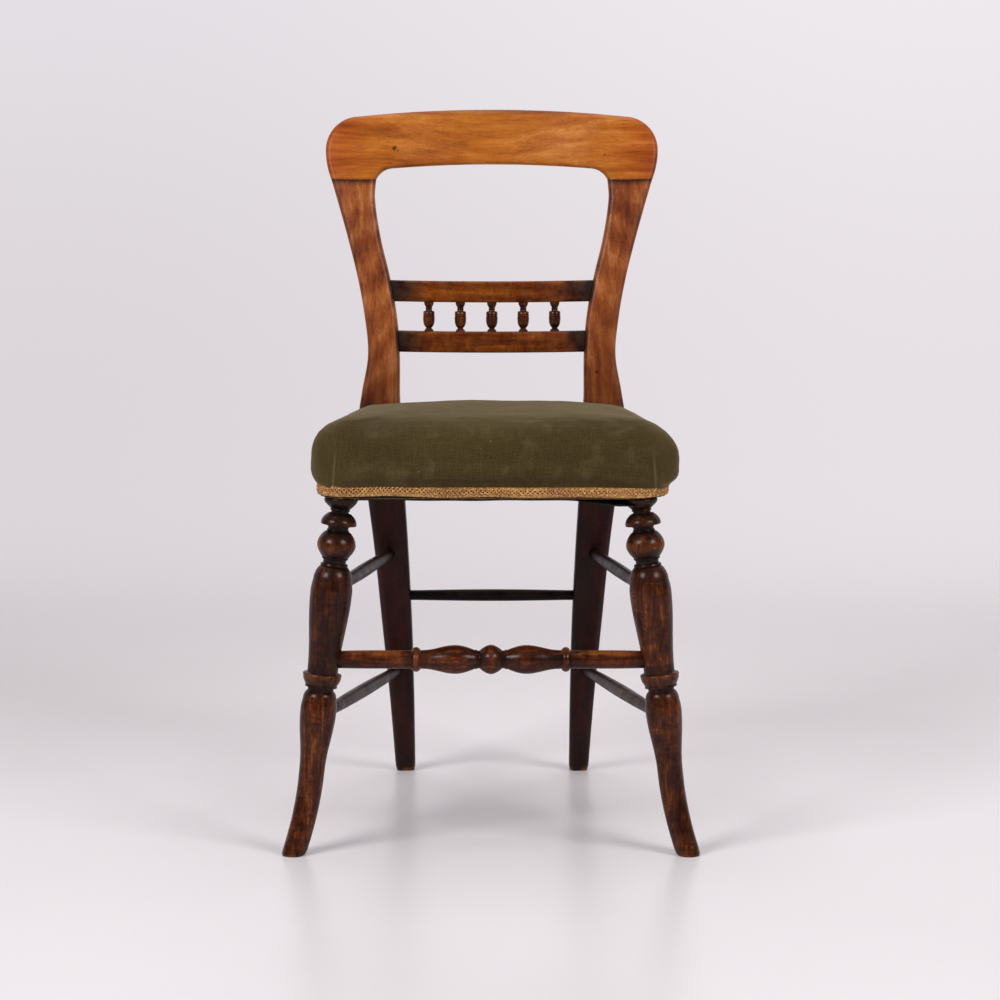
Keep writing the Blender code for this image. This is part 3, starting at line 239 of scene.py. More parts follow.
def wood_finish(name, grain, tones, clouds, rough, coat=0.22, cloud_share=0.6, marks=(), ends=None,
                fine=1.0, rubbed_and_highlight="#a8703c", curl=0.25, mottle=0.3, arcs=0.0, spread=1.0, gloss=0.30,
                stretch=GRAIN_STRETCH):
    """Polished wood. grain is the axis that the grain follows; tones run from dark to light."""
    # A near-black tone: dark freckles, and in the hollows painted shade with some dirt.
    dirt_and_shade = "#120805"
    finish, tree, shader, place = new_finish(name)
    along = [1.0, 1.0, 1.0]
    along["XYZ".index(grain)] = stretch
    run = stretched(tree, place, along)
    streaks = cloudy(tree, run, 150 * fine, 8, 0.72, 0.35)
    figure = cloudy(tree, run, 42 * fine, 5, 0.6, 1.3)
    across = [1.0, 1.0, 1.0]
    across["XYZ".index(grain)] = 2.2
    flame = cloudy(tree, stretched(tree, place, across, (0, 0.5, 0)), 34, 4, 0.6, 1.8)
    both = plus(tree, times(tree, streaks, 0.5 - curl / 4), times(tree, figure, 0.5 - curl * 3 / 4))
    both = plus(tree, both, times(tree, flame, curl))
    if arcs:
        ripple = node(tree, "TexWave", wave_type="RINGS", rings_direction="Y")
        feed(tree, ripple.inputs["Vector"], stretched(tree, place, (1.0, 1.0, 0.55), (0, 0.15, 0)))
        adjust(ripple, Scale=13, Distortion=5.5, Detail=4, Detail_Scale=1.1)
        rings = times(tree, maths(tree, "SUBTRACT", ripple.outputs["Fac"], 0.5), arcs)
        both = plus(tree, both, rings)
    steps = [0.5 + spread * (step - 0.5) for step in (0.34, 0.45, 0.54, 0.66)]
    colour = graded(tree, both, list(zip(steps, tones)))
    broad = stretched(tree, place, [0.5 + a / 2 for a in along])
    cloud = ranged(tree, cloudy(tree, broad, 15, 5, 0.62, 0.9), 0.44, 0.68)
    colour = blended(tree, times(tree, cloud, cloud_share), colour, clouds, "MULTIPLY")
    if ends is not None:
        axis, middle, low, high, tone = ends
        away = maths(tree, "ABSOLUTE", maths(tree, "SUBTRACT", measured(tree, place, axis), middle))
        uneven = plus(tree, away, times(tree, cloudy(tree, place, 55, 4), 0.02))
        colour = blended(tree, ranged(tree, uneven, low, high), colour, tone, "MULTIPLY")
    freckle = ranged(tree, cloudy(tree, place, 240, 4, 0.65), 0.50, 0.64)
    colour = blended(tree, times(tree, freckle, mottle), colour, dirt_and_shade)
    along["XYZ".index(grain)] = 0.035
    pores = ranged(tree, cloudy(tree, stretched(tree, place, along), 1150, 2, 0.5), 0.58, 0.70)
    colour = blended(tree, times(tree, pores, 0.4), colour, "#2a140c")
    for centre, size, tone, share in marks:
        spot = times(tree, near_mark(tree, place, centre, size), share)
        colour = blended(tree, spot, colour, tone)
    rubbing = ranged(tree, cloudy(tree, place, 75, 5), 0.38, 0.60)
    worn = times(tree, attribute(tree, "worn"), rubbing)
    colour = blended(tree, worn, colour, rubbed_and_highlight)
    # Painted shade with some dirt: recess darkens hollows and joins between parts towards the near-black
    # tone.
    recess = attribute(tree, "recess")
    held = times(tree, recess, ranged(tree, cloudy(tree, place, 130, 3), 0.25, 0.5, 0.6, 1.0))
    colour = blended(tree, held, colour, dirt_and_shade)
    feed(tree, shader.inputs["Base Color"], colour)
    dull = plus(tree, ranged(tree, cloudy(tree, place, 45, 5, 0.65), 0.3, 0.7, *rough),
                 times(tree, recess, 0.15))
    feed(tree, shader.inputs["Roughness"], dull)
    adjust(shader, Coat_Weight=coat, Coat_Roughness=gloss, Specular_IOR_Level=0.08)
    relief = maths(tree, "SUBTRACT", times(tree, streaks, 0.5), pores)
    bump = bumped(tree, shader, relief, 0.3, 0.0004)
    wavy = bumped(tree, shader, cloudy(tree, place, 36, 2), 0.5, 0.0022)
    feed(tree, bump.inputs["Normal"], wavy.outputs[0])
    feed(tree, shader.inputs["Normal"], bump.outputs[0])
    return finish


# %% [markdown]
# The chair is one kind of timber with several finishes. Years of hands have lifted the crest to a
# honey orange; the posts stay a redder brown; the cross rails are dark at their ends; the turned legs
# are nearly black in their hollows, and the plain rods under the seat are dull and blackish. The seat
# frame was never polished, so its beech is bare, with the grain along X, Y or Z as each piece lies.

# %% The finishes of the wood
def on_back(x, z):
    """A point of the back's front face, for a mark seen in the photo."""
    return (x, SET_BACK + post_face(z), z)


def post_face(z):
    """How far back the front face of the post stands at a height, from its place at the seat."""
    if z < RAIL_TOP:
        return 0.090 * ((RAIL_TOP - z) / RAIL_TOP) ** 1.8
    return 0.066 * ((z - RAIL_TOP) / (CHAIR_HEIGHT - RAIL_TOP)) ** 1.7


# Painted sheen: the pinkish ends tone on the crest stands for the pale sheen at its two ends.
crest_wood = wood_finish(
    "honey_crest", "X", ("#7e3f10", "#a55918", "#b86c24", "#cf8c48"), "#bc7c50", (0.28, 0.44),
    cloud_share=0.36, ends=("X", 0, 0.150, 0.215, "#ecccbc"), curl=0.05, mottle=0.10, coat=0.18, gloss=0.40,
    marks=((on_back(-0.1233, 0.8107), 0.0045, "#2c140a", 0.9),
           (on_back(-0.119, 0.808), 0.0028, "#2c140a", 0.7),
           (on_back(0.143, 0.803), 0.0030, "#4a220f", 0.6)),
)
post_wood = wood_finish(
    "red_brown_post", "Z", ("#5a260e", "#83401a", "#9c5628", "#bb7a4c"), "#8c5040", (0.24, 0.42),
    ends=("Z", 0.80, 0.22, 0.42, "#4c261a"), curl=0.10, mottle=0.14, coat=0.24, arcs=0.075, gloss=0.38,
    marks=((on_back(0.132, 0.531), 0.0032, "#1d0d08", 0.9),
           (on_back(-0.137, 0.655), 0.0040, "#34180f", 0.6)),
)
# Painted shade with dirt: the ends tone darkens each cross rail towards the posts.
rail_wood = wood_finish(
    "dark_ended_rail", "X", ("#2e0f01", "#5c2301", "#7c3802", "#a25a08"), "#784824", (0.30, 0.44),
    coat=0.14, ends=("X", 0, 0.086, 0.120, "#5c3c30"), mottle=0.35, curl=0.2,
)
turned_wood = wood_finish(
    "turned_dark", "Z", ("#140502", "#341408", "#56270d", "#96541c"), "#6c3a20", (0.24, 0.38),
    coat=0.20, fine=1.7, rubbed_and_highlight="#8a5022", mottle=0.42, curl=0.24, spread=0.92, gloss=0.17, stretch=0.14,
    marks=(((0.186, -0.2335, 0.3560), 0.0012, "#b07a48", 0.7),),
)
stretcher_wood = wood_finish(
    "turned_stretcher", "X", ("#1c0803", "#3e1607", "#602b0d", "#92501d"), "#6d402c", (0.24, 0.38),
    fine=1.7, rubbed_and_highlight="#955424", mottle=0.4, spread=0.9, gloss=0.20,
    marks=(((-0.1467, -0.2335, 0.2290), 0.0012, "#d9cfc4", 1.0),),
)
# On the plain rods the pale rubbed tone is a painted highlight along their tops.
rod_wood = wood_finish(
    "blackish_rod", "Y", ("#0c0402", "#1b0a05", "#2c120a", "#4a2416"), "#8a6a5a", (0.30, 0.46),
    coat=0.06, fine=1.4, rubbed_and_highlight="#4c2a1c",
)
cross_rod_wood = wood_finish(
    "blackish_cross_rod", "X", ("#030101", "#080403", "#110906", "#241711"), "#8a7a72", (0.34, 0.5),
    coat=0.04, fine=1.4, rubbed_and_highlight="#2a1d18",
)
beech = {
    grain: wood_finish(
        "bare_beech_" + grain.lower(), grain, ("#a58058", "#b8946a", "#c4a27a", "#d0b28c"), "#b49a80",
        (0.7, 0.85), coat=0.0, cloud_share=0.4, fine=1.3, mottle=0.08,
    )
    for grain in "XYZ"
}
print("wood grain runs along", ", ".join(beech), "in the bare beech")

# %% [markdown]
# Each finished mesh becomes an object with its place in its mesh. It rides on the chair's one body,
# hides the solid that it stands for, and carries its own finish.

# %% Making a mesh into a piece of the chair
def as_mesh(name, bm):
    mesh = bpy.data.meshes.new(name)
    bm.to_mesh(mesh)
    bm.free()
    return mesh


def add_piece(name, bm, finish, replaced, sharp=35, merge=True):
    """sharp is the angle in degrees over which an edge between two faces is kept hard."""
    if merge:
        bmesh.ops.remove_doubles(bm, verts=bm.verts, dist=1e-6)
    bmesh.ops.recalc_face_normals(bm, faces=bm.faces)
    mesh = as_mesh(name, bm)
    mesh.shade_smooth()
    mesh.set_sharp_from_angle(angle=math.radians(sharp))
    mesh.materials.append(finish)
    made = placed(name, mesh)
    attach(made, "root")
    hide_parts(*replaced)
    return made


# %% [markdown]
# Most of this chair is turned. A turner works from a list: so far along, cut down to such a diameter,
# and leave a swell, a cove or an ogee on the way. The same list draws the half outline here, and
# Blender's spin turns it round the axis. Where the outline dips below its neighbours, the wood is
# darkened with painted shade and some dirt, so the depth of each dip is kept as the value recess, and
# the proudest rims get the value worn.

# %% Turning on a lathe
def mix(a, b, share):
    return a + (b - a) * share


def smoothstep(low, high, value):
    share = min(1.0, max(0.0, (value - low) / (high - low)))
    return share * share * (3 - 2 * share)


def turning(start_diameter, cuts, spacing=0.0014):
    """The (distance, radius) outline that a turner's cuts leave."""
    radius, distance = start_diameter / 2, 0.0
    outline = [(0.0, radius)]
    for length, diameter, shape in cuts:
        reached = diameter / 2
        fast = shape == "swell" if reached > radius else shape == "cove"
        steps = max(1 if shape == "cone" and length < 0.006 else 4, round(length / spacing))
        for step in range(1, steps + 1):
            t = step / steps
            if shape == "cone":
                share = t
            elif shape == "ogee":
                share = (1 - math.cos(math.pi * t)) / 2
            elif shape == "ball":
                share = (math.sin(math.pi * t / 2) + math.sqrt(1 - (1 - t) ** 2)) / 2
            elif fast:
                share = math.sin(math.pi * t / 2)
            else:
                share = 1 - math.cos(math.pi * t / 2)
            outline.append((distance + length * t, mix(radius, reached, share)))
        radius = reached
        distance += length
    return outline


def radii_near(outline, distance, reach):
    near = [radius for place, radius in outline if abs(place - distance) < reach]
    return min(near), max(near)


def recess_of(outline, distance, radius, depth=0.0065):
    """How deep a point of the outline lies under the proudest wood near it, from 0 to 1."""
    proudest = radii_near(outline, distance, 0.011)[1]
    return min(1.0, max(0.0, (proudest - radius) / depth))


def worn_of(outline, distance, radius):
    """How much a point of the outline is rubbed: most on the rims that stand over a deep cut."""
    lowest, proudest = radii_near(outline, distance, 0.006)
    spread = proudest - lowest
    return 0.3 * min(1.0, spread / 0.003) * smoothstep(0.75, 1.0, (radius - lowest) / (spread + 1e-6))


def spin_round(outline, sides=40):
    """The turned piece about Z, with its recess and worn values."""
    bm = bmesh.new()
    recess = bm.verts.layers.float.new("recess")
    worn = bm.verts.layers.float.new("worn")
    verts = []
    for distance, radius in outline:
        vert = bm.verts.new((radius, 0, distance))
        vert[recess] = recess_of(outline, distance, radius)
        vert[worn] = worn_of(outline, distance, radius)
        verts.append(vert)
    edges = [bm.edges.new(pair) for pair in zip(verts, verts[1:])]
    bmesh.ops.spin(bm, geom=verts + edges, cent=(0, 0, 0), axis=(0, 0, 1), angle=2 * math.pi,
                   steps=sides, use_merge=True)
    bmesh.ops.holes_fill(bm, edges=[edge for edge in bm.edges if edge.is_boundary])
    return bm


# %% [markdown]
# The front legs were turned straight and then steamed, or sawn from thick stock, so that they splay
# out and kick forward at the foot. Here too the leg is turned straight, and then each ring of it is
# carried to its place along a curved middle line.

# %% The bent middle line of a front leg
LEG_TOP = (0.1702, 0.0235)
LEG_SPLAY = 0.114
LEG_RAKE = 0.020
LEG_FLARE = 0.0105
LEG_FLARE_HEIGHT = 0.090
LEG_LEVELLING = 0.014


def leg_middle(z, side=1):
    drop = RAIL_UNDERSIDE - z
    flare = LEG_FLARE * max(0.0, 1 - z / LEG_FLARE_HEIGHT) ** 2
    x = LEG_TOP[0] + LEG_SPLAY * drop + flare
    y = SET_BACK + FRONT_FACE + LEG_TOP[1] - LEG_RAKE * drop - flare
    return Vector((side * x, y, z))


def travelled_along(points):
    """The distance travelled to each of a line of points."""
    travelled = [0.0]
    for before, after in zip(points, points[1:]):
        travelled.append(travelled[-1] + (after - before).length)
    return travelled


def leg_path(steps=300):
    points = [leg_middle((RAIL_UNDERSIDE - FIT) * (1 - step / steps)) for step in range(steps + 1)]
    return points, travelled_along(points)


def bend_leg(bm, side):
    points, travelled = leg_path()
    total = travelled[-1]
    place = 0
    for vert in sorted(bm.verts, key=lambda v: v.co.z):
        distance = min(max(vert.co.z, 0.0), total)
        while place < len(points) - 2 and travelled[place + 1] <= distance:
            place += 1
        share = (distance - travelled[place]) / (travelled[place + 1] - travelled[place])
        middle = points[place].lerp(points[place + 1], share)
        along = (points[place + 1] - points[place]).normalized()
        level = smoothstep(0, LEG_LEVELLING, min(distance, total - distance))
        down = Vector((0, 0, -1)).lerp(along, level).normalized()
        across = Vector((1, 0, 0))
        across = (across - down * across.dot(down)).normalized()
        spot = middle + across * vert.co.x + down.cross(across) * vert.co.y
        vert.co = Vector((side * spot.x, spot.y, spot.z))


# %% [markdown]
# From the seat down the leg has a dark cup, a thin neck with a ring, a bell, a ball, another ringed
# neck, a long vase, a collar, and a long calf that ends in the kicked foot. The fine rings and
# fillets between them are what makes it read as turned work.

# %% Turn and bend the front legs
BALL_TOP = 0.376
CUP_RIM = 0.390
FOOT_ROUNDING = (0.0026, 0.0244, "swell")
LEG_CUTS = (
    (0.0020, 0.0392, "swell"), (0.0105, 0.0245, "swell"), (0.0008, 0.0222, "cone"),
    (0.0022, 0.0226, "swell"), (0.0008, 0.0200, "cone"), (0.0016, 0.0200, "cone"),
    (0.0122, 0.0408, "ball"), (0.0014, 0.0410, "cone"), (0.0006, 0.0398, "cone"),
    (0.0006, 0.0262, "cone"), (0.0012, 0.0256, "cone"), (0.0008, 0.0236, "cove"),
    (0.0026, 0.0234, "cone"), (0.0004, 0.0252, "cone"), (0.0010, 0.0256, "cone"),
    (0.0004, 0.0240, "cone"), (0.0162, 0.0443, "ball"), (0.0134, 0.0312, "swell"),
    (0.0006, 0.0298, "cone"), (0.0020, 0.0302, "swell"), (0.0008, 0.0272, "cone"),
    (0.0016, 0.0262, "cove"), (0.0026, 0.0262, "cone"), (0.0008, 0.0306, "cone"),
    (0.0024, 0.0316, "swell"), (0.0006, 0.0304, "cone"), (0.0160, 0.0446, "ball"),
    (0.0140, 0.0480, "swell"), (0.0930, 0.0352, "ogee"), (0.0005, 0.0362, "cone"),
    (0.0012, 0.0440, "swell"), (0.0012, 0.0448, "swell"), (0.0016, 0.0440, "swell"),
    (0.0090, 0.0376, "swell"),
    (0.0006, 0.0366, "cone"), (0.0028, 0.0370, "swell"), (0.0010, 0.0300, "cone"),
    (0.0036, 0.0296, "cone"), (0.0006, 0.0316, "cone"), (0.0100, 0.0388, "ball"),
    (0.0120, 0.0416, "swell"), (0.0690, 0.0294, "ogee"),
)


def leg_outline():
    total = leg_path()[1][-1]
    run = total - sum(cut[0] for cut in LEG_CUTS) - FOOT_ROUNDING[0]
    foot = ((run * 0.55, 0.0282, "cone"), (run * 0.45, 0.0272, "cone"), FOOT_ROUNDING)
    return turning(0.0372, LEG_CUTS + foot)


for side, side_name in ((-1, "left"), (1, "right")):
    bm = spin_round(leg_outline(), 44)
    bend_leg(bm, side)
    recess, worn = bm.verts.layers.float["recess"], bm.verts.layers.float["worn"]
    for vert in bm.verts:
        vert[worn] = max(vert[worn], 0.5 * smoothstep(0.004, 0.001, vert.co.z))
        # Painted shade under the seat: recess is raised over the top of the ball and more over the cup.
        vert[recess] = max(vert[recess], 0.66 * smoothstep(BALL_TOP, BALL_TOP + 0.004, vert.co.z),
                           0.85 * smoothstep(CUP_RIM, CUP_RIM + 0.004, vert.co.z))
    leg = add_piece("turned_leg_" + side_name, bm, turned_wood,
                    ["front_leg_" + side_name])
    print(leg.name, len(leg.data.polygons), "faces")


# %% [markdown]
# The stretchers tie the legs together. The front one is turned like the legs, with a ball in its
# middle; the others are plain rods that fatten slightly towards their middles. Each is turned about
# Z and then laid along the line between the two legs that it joins.

# %% Turn the stretchers
STRETCHER_RADIUS = 0.0106
STRETCHER_PIN = (0.010, 0.0180, "cone")


def lay_between(bm, start, end):
    turn = (end - start).to_track_quat("Z", "Y").to_matrix().to_4x4()
    turn.translation = start
    bmesh.ops.transform(bm, matrix=turn, verts=bm.verts)
    return bm


STRETCHER_HALF = (
    (0.0120, 0.0226, "swell"), (0.0006, 0.0208, "cone"), (0.0012, 0.0204, "cove"),
    (0.0020, 0.0206, "cone"), (0.0006, 0.0224, "cone"), (0.0014, 0.0228, "swell"),
    (0.0005, 0.0216, "cone"), (0.0226, 0.0332, "swell"), (0.0366, 0.0218, "ogee"),
    (0.0030, 0.0213, "cone"), (0.0010, 0.0244, "cone"), (0.0038, 0.0286, "swell"),
    (0.0036, 0.0268, "swell"), (0.0012, 0.0244, "cone"), (0.0010, 0.0210, "cone"),
)
left, right = leg_middle(FRONT_STRETCHER_HEIGHT, -1), leg_middle(FRONT_STRETCHER_HEIGHT, 1)
half_length = (right - left).length / 2
taper = half_length - sum(cut[0] for cut in STRETCHER_HALF) - STRETCHER_PIN[0]
ends = ((taper / 2, 2 * STRETCHER_RADIUS, "cone"), (taper / 2, 0.0196, "swell"), STRETCHER_PIN)
half = turning(0.0339, STRETCHER_HALF + ends)
outline = [(half_length - d, r) for d, r in reversed(half)] + [(half_length + d, r) for d, r in half[1:]]
bm = lay_between(spin_round(outline, 36), left, right)
recess, worn = bm.verts.layers.float["recess"], bm.verts.layers.float["worn"]
for vert in bm.verts:
    # Painted shade where the stretcher goes into the leg, through recess.
    into_leg = smoothstep(0.158, 0.175, abs(vert.co.x))
    vert[recess] = max(vert[recess], 0.7 * into_leg)
    on_top = smoothstep(0.2, 1.0, (vert.co.z - FRONT_STRETCHER_HEIGHT) / STRETCHER_RADIUS) * smoothstep(
        0.07, 0.10, abs(vert.co.x))
    vert[worn] = max(vert[worn], 0.6 * on_top * (1 - into_leg))
add_piece("turned_front_stretcher", bm, stretcher_wood, ["front_stretcher"])
print("front stretcher", round(2 * half_length, 4), "m between the legs' middles")


# %% [markdown]
# The posts, crest and cross rails are not turned but sawn and shaped, with their edges rounded over.
# One way to make such a piece is to start from a straight bar with bevelled edges, slice it across
# many times, and then move every point of it to where the curved piece has it. The bevel keeps its
# size, because only the flats between the bevels are widened or narrowed.

# %% A straight bar with rounded edges
BAR_WIDTH = 0.040
BAR_THICKNESS = 0.020


def make_bar(arris, slices, width=BAR_WIDTH, thickness=BAR_THICKNESS):
    """A bar 1 long in Z, with its long edges rounded and its length cut into slices."""
    bm = bmesh.new()
    bmesh.ops.create_cube(bm, size=1.0)
    bmesh.ops.transform(bm, matrix=Matrix.Diagonal((width, thickness, 1, 1)), verts=bm.verts)
    bmesh.ops.translate(bm, vec=(0, 0, 0.5), verts=bm.verts)
    long_edges = [e for e in bm.edges if abs(e.verts[0].co.z - e.verts[1].co.z) > 0.5]
    bmesh.ops.bevel(bm, geom=long_edges, offset=arris, offset_type="OFFSET", segments=5, profile=0.5,
                    affect="EDGES", material=-1, clamp_overlap=True)
    for step in range(1, slices):
        geometry = list(bm.verts) + list(bm.edges) + list(bm.faces)
        bmesh.ops.bisect_plane(bm, geom=geometry, dist=1e-7, plane_co=(0, 0, step / slices),
                               plane_no=(0, 0, 1))
    bm.verts.layers.float.new("recess")
    bm.verts.layers.float.new("worn")
    return bm


def widened(value, start, wanted):
    """Moves a point of the bar outwards or inwards as its width changes, keeping its rounded edge."""
    return value + (wanted - start) / 2 * math.copysign(1, value)


def shape_bar(bm, place, values=None):
    recess, worn = bm.verts.layers.float["recess"], bm.verts.layers.float["worn"]
    for vert in bm.verts:
        across, back, along = vert.co
        edge = min(1.0, max(0.0, 1 - (BAR_THICKNESS / 2 - abs(back)) / 0.004)) * min(
            1.0, max(0.0, 1 - (BAR_WIDTH / 2 - abs(across)) / 0.004))
        vert.co = place(across, back, along)
        vert[worn] = edge
        if values is not None:
            vert[recess], vert[worn] = values(vert.co, edge)
    return bm


# %% [markdown]
# The back posts carry on down as the rear legs, in one sawn piece that sweeps back to the foot and
# leans back to the crest. Their two edges are read from a few widths along their height, joined by
# a smooth curve.

# %% The outline of a back post
LEG_STATIONS = ((0.00, 0.1262, 0.1010), (0.25, 0.1326, 0.1011), (0.50, 0.1412, 0.1028),
                (0.75, 0.1503, 0.1070), (1.00, 0.1625, 0.1128))
BACK_STATIONS = ((0.00, 0.1678, 0.1152), (0.10, 0.1640, 0.1162), (0.26, 0.1562, 0.1164),
                 (0.42, 0.1603, 0.1198), (0.59, 0.1695, 0.1290), (0.76, 0.1823, 0.1410),
                 (0.92, 0.1958, 0.1480))
CREST_HALF_WIDTH = 0.2105
CREST_SHOULDER = CHAIR_HEIGHT - 0.051
CREST_OUTER_RADIUS = 0.042
CREST_FLANK_RADIUS = 0.096
CREST_UNDERSIDE = CHAIR_HEIGHT - 0.0695
CREST_INNER_RADIUS = 0.025
CREST_INNER_CENTRE = 0.124
CREST_INNER_RISE = 0.005
CREST_BOW = 0.020
POST_TOP_THICKNESS = 0.023


def curve_through(keys, at):
    """A smooth curve through (place, value) keys, read at one place."""
    places, values = [k[0] for k in keys], [k[1] for k in keys]
    last = len(keys) - 1
    i = max(0, min(last - 1, sum(place <= at for place in places) - 1))

    def slope(k):
        before, after = max(0, k - 1), min(last, k + 1)
        return (values[after] - values[before]) / (places[after] - places[before])

    width = places[i + 1] - places[i]
    t = (at - places[i]) / width
    return ((2 * t**3 - 3 * t**2 + 1) * values[i] + (t**3 - 2 * t**2 + t) * width * slope(i)
            + (3 * t**2 - 2 * t**3) * values[i + 1] + (t**3 - t**2) * width * slope(i + 1))


def crest_outer(z):
    return CREST_HALF_WIDTH - (CREST_SHOULDER - z) ** 2 / (2 * CREST_FLANK_RADIUS)


def crest_inner(z):
    up = z - (CREST_UNDERSIDE - CREST_INNER_RISE - CREST_INNER_RADIUS)
    return CREST_INNER_CENTRE + math.sqrt(max(0.0, CREST_INNER_RADIUS**2 - max(0.0, up) ** 2))


def edge_keys(side, joint):
    keys = [(row[0] * RAIL_UNDERSIDE, row[side]) for row in LEG_STATIONS]
    keys += [(mix(SHOULDER_HEIGHT, JOINT_HEIGHT, row[0]), row[side]) for row in BACK_STATIONS]
    return keys + [(JOINT_HEIGHT, joint)]


OUTER_KEYS = edge_keys(1, crest_outer(JOINT_HEIGHT))
INNER_KEYS = edge_keys(2, crest_inner(JOINT_HEIGHT))


def post_thickness(z):
    if z < RAIL_TOP:
        return mix(0.025, 0.031, smoothstep(0, RAIL_TOP, z))
    return mix(0.031, POST_TOP_THICKNESS, smoothstep(RAIL_TOP, JOINT_HEIGHT, z))


# %% [markdown]
# Each post starts as the straight bar, and every point of it is moved: the width follows the two
# edges, the thickness tapers, and the whole leans back above the seat and sweeps back below it. The
# same pass notes where the wood is darkened with painted shade and dirt, and where it is rubbed.

# %% Shape the two posts
def post_place(side):
    def place(across, back, along):
        z = along * JOINT_HEIGHT
        outer, inner = curve_through(OUTER_KEYS, z), curve_through(INNER_KEYS, z)
        ease = 0.0012 * smoothstep(0.004, 0.0, z)
        x = (outer + inner) / 2 + widened(across, BAR_WIDTH, outer - inner - 2 * ease)
        thick = post_thickness(z)
        y = SET_BACK + post_face(z) + thick / 2 + widened(back, BAR_THICKNESS, thick - 2 * ease)
        return Vector((side * x, y, z))
    return place


def post_values(spot, edge):
    """A dark joint line under the crest, painted shade with dirt where rails and cover meet the post, and
    rubbed wood on its edges and at its foot.
    """
    at_joint = math.exp(-abs(spot.z - JOINT_HEIGHT) / 0.0009)
    inside = curve_through(INNER_KEYS, spot.z) > abs(spot.x) - 0.004
    # Painted shade with dirt: bands where the cross rails and the seat cover meet the post.
    at_rail = max(smoothstep(0.020, 0.010, abs(spot.z - middle))
                  for middle in (UPPER_RAIL_MIDDLE, LOWER_RAIL_MIDDLE))
    at_seat = smoothstep(0.030, 0.0, abs(spot.z - 0.470)) * 0.6
    dark = max(at_joint, 0.8 * at_rail * inside, at_seat)
    return min(1.0, dark), max(0.15 * edge * (spot.z > 0.45), 0.35 * smoothstep(0.004, 0.001, spot.z))


for side, side_name in ((-1, "left"), (1, "right")):
    bm = shape_bar(make_bar(0.0072, 110), post_place(side), post_values)
    post = add_piece("shaped_post_" + side_name, bm, post_wood,
                     ["back_post_" + side_name])
    print(post.name, len(post.data.polygons), "faces")


# %% [markdown]
# The crest rail is a yoke: its two ends turn down to meet the posts, its corners are rounded outside
# and in, and its middle is hollowed back to fit the sitter's shoulders. The bar runs from one joint
# up round the corner and over to the other, between an outer and an inner outline of lines and arcs.

# %% Shape the crest rail
FLANK_SHARE = 0.18
CORNER_SHARE = 0.55


def crest_edges(t):
    """Outer and inner points of the crest from the joint (0) to the middle (1), seen from the front."""
    radius = CREST_OUTER_RADIUS
    corner_x = CREST_HALF_WIDTH - radius
    low = JOINT_HEIGHT
    if t <= FLANK_SHARE:
        z = mix(low, CREST_SHOULDER, t / FLANK_SHARE)
        outer = (crest_outer(z), z)
    elif t <= CORNER_SHARE:
        angle = math.pi / 2 * (t - FLANK_SHARE) / (CORNER_SHARE - FLANK_SHARE)
        outer = (corner_x + radius * math.cos(angle), CREST_SHOULDER + radius * math.sin(angle))
    else:
        share = (t - CORNER_SHARE) / (1 - CORNER_SHARE)
        rise = CHAIR_HEIGHT - CREST_SHOULDER - radius
        outer = (corner_x * (1 - share), CREST_SHOULDER + radius + rise * (1 - (1 - share) ** 2))
    centre_z = CREST_UNDERSIDE - CREST_INNER_RISE - CREST_INNER_RADIUS
    if t <= CORNER_SHARE:
        start = math.asin(max(0.0, low - centre_z) / CREST_INNER_RADIUS)
        angle = mix(start, math.pi / 2, t / CORNER_SHARE)
        inner = (CREST_INNER_CENTRE + CREST_INNER_RADIUS * math.cos(angle),
                 centre_z + CREST_INNER_RADIUS * math.sin(angle))
    else:
        share = (t - CORNER_SHARE) / (1 - CORNER_SHARE)
        inner = (CREST_INNER_CENTRE * (1 - share), CREST_UNDERSIDE - CREST_INNER_RISE * (1 - share) ** 2)
    return Vector(outer), Vector(inner)


def crest_place(across, back, along):
    side = -1 if along < 0.5 else 1
    outer, inner = crest_edges(1 - abs(2 * along - 1))
    width = (outer - inner).length
    spot = inner.lerp(outer, 0.5 + widened(across, BAR_WIDTH, width) / width)
    half = crest_inner(JOINT_HEIGHT)
    bow = CREST_BOW * max(0.0, 1 - (spot.x / half) ** 2) ** 1.5
    y = post_face(spot.y) + bow + POST_TOP_THICKNESS / 2
    return Vector((side * spot.x, SET_BACK + y + widened(back, BAR_THICKNESS, POST_TOP_THICKNESS), spot.y))


def crest_values(spot, edge):
    at_joint = math.exp(-abs(spot.z - JOINT_HEIGHT) / 0.0009)
    # The crest is darkened along its top edge through recess.
    darker_top_edge = 0.30 * smoothstep(CHAIR_HEIGHT - 0.010, CHAIR_HEIGHT - 0.002, spot.z)
    return max(at_joint, darker_top_edge), 0.06 * edge


bm = shape_bar(make_bar(0.0072, 150), crest_place, crest_values)
crest = add_piece("shaped_crest", bm, crest_wood, ["crest_rail"])
crest_top = max(v.co.z for v in crest.data.vertices)
print("crest", len(crest.data.polygons), "faces, top at", round(crest_top, 4))


# %% [markdown]
# The two cross rails are bowed back like the crest, and dip a little in their middles. Their ends
# follow the slanting inner edges of the posts.

# %% Shape the cross rails
RAIL_HEIGHT = 0.0264
RAIL_THICKNESS = 0.016
RAIL_BOW = 0.012
RAIL_DIP = 0.002
RAIL_SETBACK = 0.004


def rail_depth(z, share):
    """The depth of a cross rail's middle, where share runs from -1 at its left end to 1 at its right."""
    return SET_BACK + post_face(z) + RAIL_SETBACK + RAIL_BOW * (1 - share**2) + RAIL_THICKNESS / 2


def rail_place(middle):
    def place(across, back, along):
        share = 2 * along - 1
        z = middle - RAIL_DIP * (1 - share**2) + widened(across, BAR_WIDTH, RAIL_HEIGHT)
        x = share * (curve_through(INNER_KEYS, z) - FIT)
        return Vector((x, rail_depth(z, share) + widened(back, BAR_THICKNESS, RAIL_THICKNESS), z))
    return place


